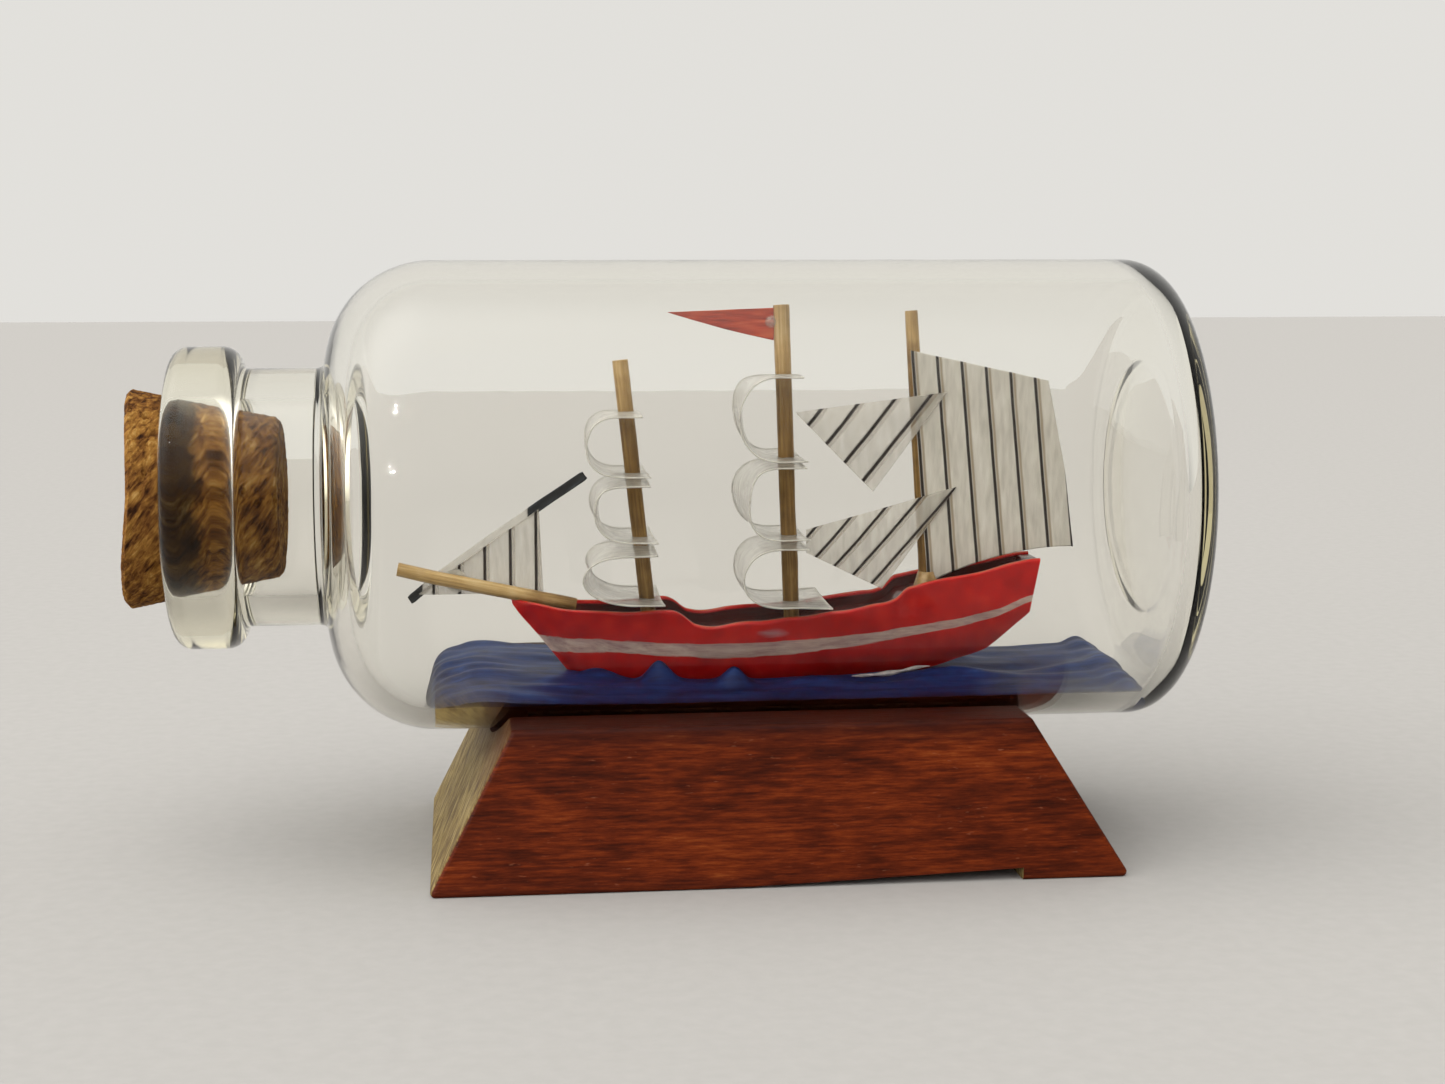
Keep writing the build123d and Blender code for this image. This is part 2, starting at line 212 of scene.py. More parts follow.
def smooth_line(stations, knots):
    """Values at the stations of a smooth curve through (place, value) knots, flat at both ends."""
    x, y = np.array(knots, dtype=float).T
    slope = np.gradient(y, x)
    slope[0] = 0
    slope[-1] = 0
    i = np.clip(np.searchsorted(x, stations) - 1, 0, len(x) - 2)
    h = x[i + 1] - x[i]
    t = np.clip((stations - x[i]) / h, 0, 1)
    start = (1 + 2 * t) * (1 - t) ** 2 * y[i] + t * (1 - t) ** 2 * h * slope[i]
    return start + t**2 * (3 - 2 * t) * y[i + 1] + t**2 * (t - 1) * h * slope[i + 1]


def grid_mesh(name, points, material, wrap=False, caps=False, fields=None, sharp=40, keep=None):
    """A mesh from a grid of points in mm, with a quad between each four neighbours where keep allows it.
    Wrap joins the last column to the first, caps closes both end rows, fields are numbers by point."""
    rows, columns = points.shape[:2]
    index = np.arange(rows * columns).reshape(rows, columns)
    if wrap:
        index = np.hstack([index, index[:, :1]])
    quads = np.stack([index[:-1, :-1], index[:-1, 1:], index[1:, 1:], index[1:, :-1]], axis=-1)
    faces = (quads.reshape(-1, 4) if keep is None else quads[keep]).tolist()
    if caps:
        faces.append(index[0, :columns].tolist())
        faces.append(index[-1, :columns][::-1].tolist())
    mesh = bpy.data.meshes.new(name)
    mesh.from_pydata(points.reshape(-1, 3) * MM, [], faces)
    for key, values in (fields or {}).items():
        values = np.asarray(values, dtype=np.float32)
        kind = "FLOAT_VECTOR" if values.ndim == 3 else "FLOAT"
        layer = mesh.attributes.new(key, kind, "POINT")
        layer.data.foreach_set("vector" if kind == "FLOAT_VECTOR" else "value", values.ravel())
    shell = bmesh.new()
    shell.from_mesh(mesh)
    bmesh.ops.remove_doubles(shell, verts=shell.verts, dist=1e-7)
    bmesh.ops.recalc_face_normals(shell, faces=shell.faces)
    shell.to_mesh(mesh)
    shell.free()
    mesh.shade_smooth()
    mesh.set_sharp_from_angle(angle=math.radians(sharp))
    mesh.materials.append(material)
    made = bpy.data.objects.new(name, mesh)
    bpy.context.collection.objects.link(made)
    return made


def stand_for(piece, node, body="body"):
    """The piece rides on a CAD body and stands for a CAD node."""
    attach(piece, body)
    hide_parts(node)


def modelling_putty():
    """Oil-bound blue putty: soft satin, stroked lengthwise, paler where it is smeared thin, darker towards
    the bottom as painted shade.
    """
    made, tree = new_material("blue_modelling_putty")
    place = add_node(tree, "TexCoord")
    # Strokes are about 0.4 mm wide and 6 mm long.
    strokes = add_node(tree, "Mapping", {"Vector": place.outputs["Object"], "Scale": (170, 2000, 2400)})
    stroke = add_node(tree, "TexNoise", {"Vector": strokes, "Scale": 1, "Detail": 5, "Roughness": 0.6,
                                         "Distortion": 0.5})
    swirl = add_node(tree, "TexNoise", {"Vector": place.outputs["Object"], "Scale": 420, "Detail": 4,
                                        "Distortion": 1.2})
    both = add_node(tree, "Mix", {0: 0.45, 2: stroke, 3: swirl}, data_type="FLOAT")
    colour = add_node(tree, "ValToRGB", {"Fac": both},
                      [(0.32, "0D193A"), (0.46, "172D64"), (0.56, "1F3D7B"), (0.68, "325190"),
                       (0.8, "5C77A8")])
    height = add_node(tree, "SeparateXYZ", {0: place.outputs["Object"]})
    # Painted shade: the putty darkens towards the bottom, where the stand shades it.
    low = add_node(tree, "MapRange", {0: height.outputs["Z"], 1: 0.0116, 2: 0.0098, 3: 0, 4: 0.85})
    shaded_bottom = add_node(tree, "Mix", {0: low, 6: colour, 7: hex_colour("120F2C")}, data_type="RGBA")
    bump = add_node(tree, "Bump", {"Strength": 0.45, "Distance": 0.00012, "Height": both})
    shader = add_node(tree, "BsdfPrincipled", {"Base Color": shaded_bottom.outputs[2], "Roughness": 0.42,
                                               "IOR": 1.47, "Specular IOR Level": 0.2, "Normal": bump})
    finish_material(tree, shader)
    return made


def inside_radius(x):
    """Radius of the inner wall: straight along the body, a quarter arc at the shoulder."""
    back = np.clip(shoulder_x - x, 0, None)
    arc = body_r - wall - neck_r
    return neck_r + np.sqrt(np.clip(arc**2 - back**2, 0, None))


# Stations along the putty, closer together where its two ends round off.
sea_x = np.concatenate([np.linspace(-15.2, -14.2, 30)[:-1], np.linspace(-14.2, 30.4, 330),
                        np.linspace(30.4, 31.5, 40)[1:]])
glass_r = inside_radius(sea_x) - putty_gap
glass_floor = axis_z - glass_r
sea_line = smooth_line(sea_x, [(-15.2, 9.55), (-14.4, 10.9), (-12.6, 11.75), (-8.5, 11.7), (-3.5, 11.35),
                               (3.0, 11.15), (14.0, 11.1), (24.0, 11.0), (28.5, 11.15), (30.6, 11.25),
                               (31.2, 10.6), (31.5, 9.55)])
sea_line = np.maximum(sea_line, glass_floor)
half_width = np.sqrt(np.clip(glass_r**2 - (axis_z - sea_line) ** 2, 0.0, None))
across = np.sin(np.linspace(-np.pi / 2, np.pi / 2, 72))
top_y = half_width[:, None] * across[None, :]
top_x = np.repeat(sea_x[:, None], across.size, axis=1)
flat_top = np.stack([top_x, top_y, np.repeat(sea_line[:, None], across.size, axis=1)], axis=-1)
calm = (1 - across[None, :] ** 2) * np.clip((half_width / 4)[:, None], 0, 1)
ribs = rough(flat_top * np.array([0.16, 1.0, 1.0]), 1.5, 3) * 0.09
ribs = ribs + rough(flat_top * np.array([0.6, 1.0, 1.0]), 3.6, 4) * 0.10
# Laps of putty pushed up against the hull: place along it, place off its middle, length and height.
laps = sum(height * np.exp(-(((top_x - x) / length) ** 2) - ((np.abs(top_y) - y) / 0.9) ** 2)
           for x, y, length, height in ((0.0, 2.2, 1.0, 1.5), (4.8, 2.9, 0.9, 1.2), (-3.8, 1.6, 1.4, 0.7),
                                        (10.5, 2.9, 2.0, 0.45), (19.0, 2.2, 2.6, 0.5)))
flat_top[..., 2] += calm**0.5 * ribs + calm**0.3 * laps
under_y = top_y[:, ::-1][:, 1:-1]
under = np.stack([top_x[:, 1:-1], under_y, axis_z - np.sqrt(glass_r[:, None] ** 2 - under_y**2)], axis=-1)
glass_under = axis_z - np.sqrt(np.clip(glass_r[:, None] ** 2 - top_y**2, 0, None))
flat_top[..., 2] = np.maximum(flat_top[..., 2], glass_under)
sea = grid_mesh("sea_putty", np.concatenate([flat_top, under], axis=1), modelling_putty(), wrap=True,
                caps=True, sharp=60)
stand_for(sea, "sea")

# ------------------------------------------------------------------ hull
# Whittled from one stick of wood about 35 mm long and dipped in glossy red paint. A brush drew the pale
# stripe freehand along the side; the rails are rubbed back to orange. Painted shade darkens the sunken
# decks and the keel.
hull_low, hull_high = (np.array(corner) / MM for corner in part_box("hull"))
keel_z = hull_low[2]


def painted_hull():
    """Thick gloss enamel on whittled wood, with masks for the stripe, the rubbed rails, and painted shade
    in the decks and towards the keel.
    """
    made, tree = new_material("gloss_red_enamel_on_wood")
    place = add_node(tree, "TexCoord")
    # Knife facets and brush sags are about 1 mm; the stripe's edge wavers by about 0.1 mm.
    sag = add_node(tree, "TexNoise", {"Vector": place.outputs["Object"], "Scale": 900, "Detail": 4})
    drag_space = add_node(tree, "Mapping", {"Vector": place.outputs["Object"],
                                            "Scale": (350, 2600, 2600)})
    drag = add_node(tree, "TexNoise", {"Vector": drag_space, "Scale": 1, "Detail": 5, "Roughness": 0.65})
    red = add_node(tree, "ValToRGB", {"Fac": sag},
                   [(0.30, "B80E0E"), (0.45, "C61212"), (0.58, "D01714"), (0.75, "DC261C")])
    # Painted shade: the red darkens below the stripe towards the keel.
    low = add_node(tree, "Attribute", attribute_name="low")
    shade = add_node(tree, "Mix", {0: low.outputs["Fac"], 6: red, 7: hex_colour("4E0607")},
                     data_type="RGBA")
    stripe = add_node(tree, "Attribute", attribute_name="stripe")
    waver = add_node(tree, "Math", {0: drag, 1: 1.1}, operation="MULTIPLY")
    spread = add_node(tree, "Math", {0: stripe.outputs["Fac"], 1: waver}, operation="ADD")
    inked = add_node(tree, "MapRange", {0: spread, 1: 1.66, 2: 1.48, 3: 0, 4: 0.95})
    chalk = add_node(tree, "ValToRGB", {"Fac": drag},
                     [(0.30, "A88480"), (0.5, "D0B4A8"), (0.68, "E6D3C6")])
    striped = add_node(tree, "Mix", {0: inked, 6: shade.outputs[2], 7: chalk}, data_type="RGBA")
    rail = add_node(tree, "Attribute", attribute_name="rail")
    rub = add_node(tree, "Math", {0: rail.outputs["Fac"], 1: drag}, operation="MULTIPLY")
    rubbed = add_node(tree, "MapRange", {0: rub, 1: 0.28, 2: 0.52, 3: 0, 4: 0.9})
    worn = add_node(tree, "Mix", {0: rubbed, 6: striped.outputs[2], 7: hex_colour("B5552C")},
                    data_type="RGBA")
    # Painted shade: the sunken decks and the bulwarks' inner faces are darkened to maroon.
    deck = add_node(tree, "Attribute", attribute_name="deck")
    recess_shaded = add_node(tree, "Mix", {0: deck.outputs["Fac"], 6: worn.outputs[2], 7: hex_colour("4A100B")},
                     data_type="RGBA")
    scuff = add_node(tree, "Attribute", attribute_name="scuff")
    scuff_edge = add_node(tree, "Math", {0: scuff.outputs["Fac"], 1: drag}, operation="MULTIPLY")
    scuffed = add_node(tree, "MapRange", {0: scuff_edge, 1: 0.2, 2: 0.5, 3: 0, 4: 0.7})
    colour = add_node(tree, "Mix", {0: scuffed, 6: recess_shaded.outputs[2], 7: hex_colour("B58A90")},
                      data_type="RGBA")
    bump = add_node(tree, "Bump", {"Strength": 0.45, "Distance": 0.00015, "Height": sag})
    shader = add_node(tree, "BsdfPrincipled", {"Base Color": colour.outputs[2], "Roughness": 0.24,
                                               "IOR": 1.5, "Specular IOR Level": 0.2, "Normal": bump,
                                               "Coat Weight": 0.12, "Coat Roughness": 0.08})
    finish_material(tree, shader)
    return made


def rail_height(x):
    """The stepped sheer: high forecastle, low waist, high quarterdeck, joined by two short S-bends."""
    return smooth_line(x, [(-9.4, 16.35), (-6.0, 15.95), (-1.4, 15.78), (0.3, 15.9), (1.0, 15.86),
                           (1.35, 15.66), (1.85, 15.08), (2.2, 14.96), (5.0, 15.08), (10.0, 15.45),
                           (14.2, 16.05), (15.3, 16.22), (15.75, 16.42), (16.35, 17.05), (16.8, 17.2),
                           (21.0, 17.9), (25.1, 18.72)])


def hull_surface():
    """Sections from stem to transom: each goes from the keel out to the chine, up the side, over the round
    rail, down the bulwark and in across the deck. Both raked ends are runs of straight lines in x and z."""
    stations, floor_rows, side_rows, cap_rows, wall_rows, deck_rows = 420, 6, 44, 9, 7, 8
    end_gap, rail_r, deck_drop, bulwark, chine_share = 0.02, 0.16, 0.65, 0.5, 0.60
    s = np.linspace(0, 1, stations)[:, None]
    s = 0.5 - 0.5 * np.cos(np.pi * s) * (1 - 0.35 * np.sin(np.pi * s) ** 2)
    rail_x = hull_low[0] + end_gap + s * (hull_high[0] - hull_low[0] - 2 * end_gap)
    rail_z = rail_height(rail_x)
    beam = smooth_line(rail_x, [(-9.4, 0.06), (-8.2, 0.95), (-5.5, 1.95), (-2.0, 2.6), (3.0, 3.1),
                                (8.0, 3.15), (13.0, 2.95), (18.0, 2.5), (22.0, 2.15), (25.1, 1.85)])
    up = np.linspace(0, 1, side_rows)[None, :]
    side_top = rail_z - rail_r
    side_z = keel_z + up * (side_top - keel_z)
    side_y = beam * (chine_share + (1 - chine_share) * up**0.8)
    turn = np.linspace(0, np.pi, cap_rows)[None, :]
    cap_z = side_top + rail_r * np.sin(turn)
    thick = np.minimum(bulwark, beam * 0.8)
    cap_y = beam - thick / 2 + thick / 2 * np.cos(turn)
    from_stem = (rail_x - hull_low[0] - 1.6) / 1.2
    from_stern = (hull_high[0] - 0.7 - rail_x) / 0.25
    ends = np.clip(np.minimum(from_stem, from_stern), 0, 1)
    deck_z = side_top - deck_drop * ends**2 * (3 - 2 * ends)
    down = np.linspace(0.15, 1, wall_rows)[None, :]
    wall_z = side_top + (deck_z - side_top) * down
    wall_y = (beam - thick) * (1 - 0.04 * down)
    inward = np.linspace(0.9, 0, deck_rows)[None, :]
    deck_y = (beam - thick) * 0.96 * inward
    deck_row = deck_z + 0.05 * (1 - inward**2)
    floor_y = beam * chine_share * np.linspace(0, 0.94, floor_rows)[None, :]
    floor_z = np.full_like(floor_y, keel_z)
    y = np.concatenate([floor_y, side_y, cap_y, wall_y, deck_y], axis=1)
    z = np.concatenate([floor_z, side_z, cap_z, wall_z, deck_row], axis=1)
    stem_x = np.interp(z, [10.3, 11.1, 12.9, 16.0, 16.4], [-3.7, -5.5, -6.9, -9.3, -9.4])
    stern_x = np.interp(z, [10.3, 10.5, 11.3, 12.6, 15.1, 18.7], [13.5, 14.5, 17.6, 21.6, 24.5, 25.1])
    x = stem_x + s * (stern_x - stem_x)
    narrow = np.interp(x, [-9.4, -3.5, 1.0], [0.5, 0.85, 1.0]) * np.interp(z, [10.3, 16.0], [0.97, 1.0])
    blend = np.clip((rail_z - z) / 3.0, 0, 1)
    y = y * (1 - blend * (1 - narrow))
    half = np.stack([x, y, z], axis=-1)
    outer_rows, inner_rows = floor_rows + side_rows, wall_rows + deck_rows
    on_rail = np.concatenate([np.zeros(outer_rows), np.sin(turn[0]), np.zeros(inner_rows)])
    on_deck = np.concatenate([np.zeros(outer_rows + cap_rows), np.ones(inner_rows)])
    other = half[:, ::-1] * np.array([1, -1, 1])
    loop = np.concatenate([half, other[:, 1:-1]], axis=1)
    rail = np.concatenate([on_rail, on_rail[::-1][1:-1]])[None, :] + 0 * loop[..., 0]
    deck = np.concatenate([on_deck, on_deck[::-1][1:-1]])[None, :] + 0 * loop[..., 0]
    return loop, rail, deck


hull_points, rail_mask, deck_mask = hull_surface()
# Knife facets: 0.045 mm deep and about 2.6 mm long.
hull_points += 0.045 * rough(hull_points, 2.6, 11)[..., None] * np.array([0.3, 1.0, 0.5])
hull_x, hull_y, hull_z = np.moveaxis(hull_points, -1, 0)
stripe_top = smooth_line(hull_x, [(-9.4, 14.5), (-7.56, 13.95), (-3.8, 13.8), (2.6, 13.62), (9.1, 13.82),
                                  (15.65, 14.34), (22.2, 15.4), (25.1, 16.3)])
stripe_low = smooth_line(hull_x, [(-9.4, 13.1), (-6.6, 12.75), (-3.8, 12.95), (2.6, 12.72), (9.1, 12.86),
                                  (15.65, 13.7), (22.2, 14.9), (25.1, 15.9)])
# The stripe field is 0 along the stripe's middle and 1 at its edges.
stripe_field = np.abs(hull_z - (stripe_top + stripe_low) / 2) / ((stripe_top - stripe_low) / 2)
# Painted shade: the sides darken from below the stripe towards the keel.
keel_shade_field = np.clip((stripe_low - 0.1 - hull_z) / 1.6, 0, 1) * 0.55 * (1 - deck_mask)
scuff_field = np.exp(-(((hull_x - 7.3) / 1.2) ** 2) - ((hull_z - 14.35) / 0.35) ** 2) * (hull_y < 0)
hull = grid_mesh("hull_carved", hull_points, painted_hull(), wrap=True, caps=True, sharp=50,
                 fields={"stripe": np.where(deck_mask + rail_mask > 0.1, 3.0, stripe_field),
                         "rail": rail_mask, "deck": deck_mask, "low": keel_shade_field, "scuff": scuff_field})
stand_for(hull, "hull")

# The milky bead: glue squeezed out along the near side of the hull's bottom and pulled thin at both ends.
bead_x = np.linspace(12.6, 17.9, 90)
bead_t = (bead_x - bead_x[0]) / (bead_x[-1] - bead_x[0])
bead_r = 0.03 + 0.17 * np.sin(np.pi * bead_t) ** 0.7 * (1 + 0.35 * np.sin(17 * bead_t))
bead_y = -(smooth_line(bead_x, [(12.6, 2.12), (15.0, 1.85), (17.9, 1.45)]) + 0.1)
bead_z = smooth_line(bead_x, [(12.6, 11.16), (15.0, 11.2), (17.9, 11.55)])
bead_turn = np.linspace(0, 2 * np.pi, 20, endpoint=False)
bead = np.stack([np.repeat(bead_x[:, None], bead_turn.size, 1),
                 bead_y[:, None] + bead_r[:, None] * np.cos(bead_turn),
                 bead_z[:, None] + 0.8 * bead_r[:, None] * np.sin(bead_turn)], axis=-1)
stand_for(grid_mesh("hull_glue_bead", bead, milky_glue, wrap=True, caps=True), "hull_glue")

# ------------------------------------------------------------------ masts and bowsprit
# Split bamboo sticks about a millimetre thick, brown with stain where the fingers did not hold them and
# pale at the top, partly as painted light on the tops above the sails, where a skin of dried glue shines.
# Each is pushed into a drilled hole and glued.


def bamboo_stick(name, pale_lit_from, pale_lit_to):
    """Split bamboo: straight fibres 0.12 mm wide, stained brown, paler and glossier towards the top, the
    paler top partly painted light.
    """
    made, tree = new_material(name)
    grain = add_node(tree, "Attribute", attribute_name="grain")
    fibres = add_node(tree, "Mapping", {"Vector": grain.outputs["Vector"], "Scale": (5.5, 5.5, 0.22)})
    fibre = add_node(tree, "TexNoise", {"Vector": fibres, "Scale": 1, "Detail": 5, "Roughness": 0.65})
    patch = add_node(tree, "TexNoise", {"Vector": grain.outputs["Vector"], "Scale": 0.55, "Detail": 3})
    both = add_node(tree, "Mix", {0: 0.35, 2: fibre, 3: patch}, data_type="FLOAT")
    brown = add_node(tree, "ValToRGB", {"Fac": both},
                     [(0.30, "553A1C"), (0.45, "7E5E30"), (0.58, "9C7A44"), (0.72, "BE9C62")])
    # Painted light: the top is painted paler, partly as the brighter light on the tops above the sails.
    pale_lit_tone = add_node(tree, "ValToRGB", {"Fac": both}, [(0.30, "9A7442"), (0.5, "CDA96E"), (0.7, "EAD3A2")])
    height = add_node(tree, "SeparateXYZ", {0: grain.outputs["Vector"]})
    wander = add_node(tree, "Math", {0: patch, 1: 3.0, 2: height.outputs["Z"]}, operation="MULTIPLY_ADD")
    top = add_node(tree, "MapRange", {0: wander, 1: pale_lit_from + 1.5, 2: pale_lit_to + 1.5, 3: 0, 4: 1})
    colour = add_node(tree, "Mix", {0: top, 6: brown, 7: pale_lit_tone}, data_type="RGBA")
    gloss = add_node(tree, "MapRange", {0: top, 1: 0, 2: 1, 3: 0.46, 4: 0.28})
    bump = add_node(tree, "Bump", {"Strength": 0.55, "Distance": 0.00008, "Height": fibre})
    shader = add_node(tree, "BsdfPrincipled", {"Base Color": colour.outputs[2], "Roughness": gloss,
                                               "IOR": 1.5, "Specular IOR Level": 0.3, "Normal": bump})
    finish_material(tree, shader)
    return made


def stick_piece(name, node, foot, top, radius, seed, material):
    """A round stick from foot to top: rings that swell and flatten a little along it, closed at both ends
    by rings that close in on the middle. The grain field is across, across and along, in mm."""
    foot = np.array([foot[0], 0.0, foot[1]])
    top = np.array([top[0], 0.0, top[1]])
    length = np.linalg.norm(top - foot)
    way = (top - foot) / length
    side = np.array([0.0, 1.0, 0.0])
    third = np.cross(way, side)
    rings, sides, edge = 120, 28, 0.05
    closing = np.array([0.001, 0.4, 0.8, 0.93, 0.97])
    shaft = np.linspace(edge, length - edge, rings)
    run = np.concatenate([0 * closing, shaft, 0 * closing + length])
    swell = np.concatenate([closing, np.ones(rings), closing[::-1]])
    around = np.linspace(0, 2 * np.pi, sides, endpoint=False)
    ring = np.stack([np.cos(around), np.sin(around)], axis=-1)
    along = np.repeat(run[:, None], sides, axis=1)
    local = np.concatenate([ring[None] * np.ones((run.size, 1, 1)), along[..., None]], axis=-1)
    uneven = 1 - 0.025 * (1 + rough(local * np.array([0.5, 0.5, 0.3]), 1.6, seed))
    r = radius * swell[:, None] * uneven
    grain = np.stack([r * ring[:, 0], r * ring[:, 1], along], axis=-1)
    points = foot + grain[..., :1] * side + grain[..., 1:2] * third + grain[..., 2:] * way
    made = grid_mesh(name, points, material, wrap=True, caps=True, fields={"grain": grain})
    stand_for(made, node)


# Each stick's foot and top as (x, z), and its radius.
FOREMAST = ((-0.30, 13.6), (-2.24, 31.78), 0.52)
MAINMAST = ((8.96, 13.6), (8.18, 35.28), 0.54)
MIZZEN = ((17.94, 15.6), (16.69, 34.88), 0.44)
BOWSPRIT = ((-5.2, 15.86), (-16.9, 18.4), 0.46)
stick_piece("foremast_stick", "foremast", *FOREMAST, 21, bamboo_stick("bamboo_foremast", 14.5, 17.5))
stick_piece("mainmast_stick", "mainmast", *MAINMAST, 22, bamboo_stick("bamboo_mainmast", 16.0, 18.5))
stick_piece("mizzenmast_stick", "mizzenmast", *MIZZEN, 23, bamboo_stick("bamboo_mizzenmast", 15.5, 17.5))
stick_piece("bowsprit_stick", "bowsprit", *BOWSPRIT, 24, bamboo_stick("bamboo_bowsprit", 0.5, 4.0))

# ------------------------------------------------------------------ square sails
# Strips of stiff clear film as wide as a fingernail, curled forward into a C. Each end has a hole that
# the mast passes through, and runs on behind it in a short tab.


def clear_film():
    """Stiff film, greyed a little: see-through, with fine lengthwise drawing lines and milky edges."""
    made, tree = new_material("drawn_acetate_film")
    spot = add_node(tree, "Attribute", attribute_name="spot")
    # Drawing lines are about 0.15 mm apart across the strip.
    lines = add_node(tree, "Mapping", {"Vector": spot.outputs["Vector"], "Scale": (0.25, 6.5, 1.0)})
    drawn = add_node(tree, "TexNoise", {"Vector": lines, "Scale": 1, "Detail": 4, "Roughness": 0.6})
    haze = add_node(tree, "TexNoise", {"Vector": spot.outputs["Vector"], "Scale": 0.5, "Detail": 3})
    tint = add_node(tree, "ValToRGB", {"Fac": drawn},
                    [(0.30, "C9C6BE"), (0.55, "E9E6DE"), (0.75, "FFFDF6")])
    edge = add_node(tree, "SeparateXYZ", {0: spot.outputs["Vector"]})
    rim = add_node(tree, "MapRange", {0: edge.outputs["Z"], 1: 0.25, 2: 0.0, 3: 0.0, 4: 0.4})
    body = add_node(tree, "MapRange", {0: drawn, 1: 0.3, 2: 0.7, 3: 0.24, 4: 0.52})
    cloudy = add_node(tree, "MapRange", {0: haze, 1: 0.35, 2: 0.65, 3: -0.08, 4: 0.12})
    total = add_node(tree, "Math", {0: body, 1: cloudy}, operation="ADD")
    alpha = add_node(tree, "Math", {0: total, 1: rim}, operation="ADD", use_clamp=True)
    bump = add_node(tree, "Bump", {"Strength": 0.4, "Distance": 0.00005, "Height": drawn})
    shader = add_node(tree, "BsdfPrincipled", {"Base Color": tint, "Roughness": 0.3, "IOR": 1.48,
                                               "Alpha": alpha, "Normal": bump})
    finish_material(tree, shader)
    return made


square_width = 7.5
film_thick = 0.10
tab = 0.9
film = clear_film()


def thicken(piece, label, thick):
    """Gives a surface the thickness of its sheet, in mm, half to each side."""
    sheet = piece.modifiers.new(label, "SOLIDIFY")
    sheet.thickness = thick * MM
    sheet.offset = 0


def mast_x(mast, z):
    """Where a mast's centre line is at height z."""
    (foot_x, foot_z), (top_x, top_z), _ = mast
    return foot_x + (top_x - foot_x) * (z - foot_z) / (top_z - foot_z)


def square_sail(name, mast, top_z, low_z, belly, low_tab, seed):
    """A strip swept across Y: its side view is a tab, a half ellipse bowed forward, and a second tab. Two
    round holes are left where the mast passes, by moving the nearest points out to the hole's rim."""
    bow_points, top_points, low_points, width_points = 74, 26, 34, 112
    ahead, curl_from, top_tab, hole_gap = 0.6, 0.65, 0.8, 0.03
    top_x = mast_x(mast, top_z)
    low_x = mast_x(mast, low_z)
    bow = np.linspace(0, np.pi, bow_points)
    middle_z = (top_z + low_z) / 2
    front_x = top_x + (low_x - top_x) * bow / np.pi - curl_from
    bow_x = front_x - (belly - curl_from) * np.abs(np.sin(bow)) ** 0.85
    bow_z = middle_z + (top_z - low_z) / 2 * np.sign(np.cos(bow)) * np.abs(np.cos(bow)) ** 0.9
    tab_top = np.linspace(top_x + top_tab, top_x - ahead, top_points)
    tab_low = np.linspace(low_x - ahead, low_x + low_tab, low_points)
    x = np.concatenate([tab_top, bow_x[1:-1], tab_low])
    z = np.concatenate([np.full(top_points, top_z), bow_z[1:-1], np.full(low_points, low_z)])
    y = np.linspace(-square_width / 2, square_width / 2, width_points)
    grid = np.stack([np.repeat(x[:, None], y.size, 1), np.repeat(y[None, :], x.size, 0),
                     np.repeat(z[:, None], y.size, 1)], axis=-1)
    run = np.concatenate([[0], np.cumsum(np.hypot(np.diff(x), np.diff(z)))])
    loose = np.clip((mast_x(mast, z) - ahead - x) / 1.2, 0, 1)[:, None]
    wave = rough(grid * np.array([0.5, 0.55, 0.6]), 3.4, seed)
    grid[..., 0] += loose * (0.17 * wave - 0.012 * grid[..., 1] ** 2 + 0.02 * grid[..., 1])
    grid[..., 2] += 0.06 * wave + 0.012 * grid[..., 1] ** 2 * np.sign(z - middle_z)[:, None] * -0.6
    from_edge = square_width / 2 - np.abs(grid[..., 1])
    from_end = np.minimum(run, run[-1] - run)[:, None] + 0 * from_edge
    spot = np.stack([run[:, None] + 0 * from_edge, grid[..., 1], np.minimum(from_edge, from_end)],
                    axis=-1)
    hole_r = mast[2] + hole_gap
    on_tab = (np.abs(z - top_z) < 0.02) | (np.abs(z - low_z) < 0.02)
    centre = mast_x(mast, z)[:, None]
    away_x = grid[..., 0] - centre
    away_y = grid[..., 1]
    reach = np.hypot(away_x, away_y)
    push = np.where((reach < hole_r) & on_tab[:, None], hole_r / np.maximum(reach, 0.02), 1.0)
    grid[..., 0] = centre + away_x * push
    grid[..., 1] = away_y * push
    middle = (grid[:-1, :-1] + grid[:-1, 1:] + grid[1:, 1:] + grid[1:, :-1]) / 4
    from_mast = np.hypot(middle[..., 0] - mast_x(mast, middle[..., 2]), middle[..., 1])
    from_tabs = np.minimum(np.abs(middle[..., 2] - top_z), np.abs(middle[..., 2] - low_z))
    solid = (from_mast > hole_r * 0.97) | (from_tabs > 0.3)
    made = grid_mesh(name + "_strip", grid, film, fields={"spot": spot}, keep=solid)
    thicken(made, "film_thickness", film_thick)
    stand_for(made, name)


# Each sail's mast, its two ends' heights, how far it curls forward, its lower tab and its unevenness.
for sail_name, mast, top_z, low_z, belly, low_tab, seed in (
    ("fore_upper_sail", FOREMAST, 28.4, 24.5, 2.7, tab, 31),
    ("fore_middle_sail", FOREMAST, 24.1, 20.3, 2.7, tab, 32),
    ("fore_lower_sail", FOREMAST, 19.7, 16.3, 3.6, tab, 33),
    ("main_upper_sail", MAINMAST, 30.8, 25.4, 3.0, tab, 34),
    ("main_middle_sail", MAINMAST, 25.1, 20.3, 3.0, tab, 35),
    ("main_lower_sail", MAINMAST, 19.9, 15.9, 3.2, 2.2, 36),
):
    square_sail(sail_name, mast, top_z, low_z, belly, low_tab, seed)

# ------------------------------------------------------------------ striped sails
# The fore-and-aft sails are cut from off-white film ruled with dark lines before it was cut. They are
# glued by one edge or by their corners, so their free edges stand a little out of flat.


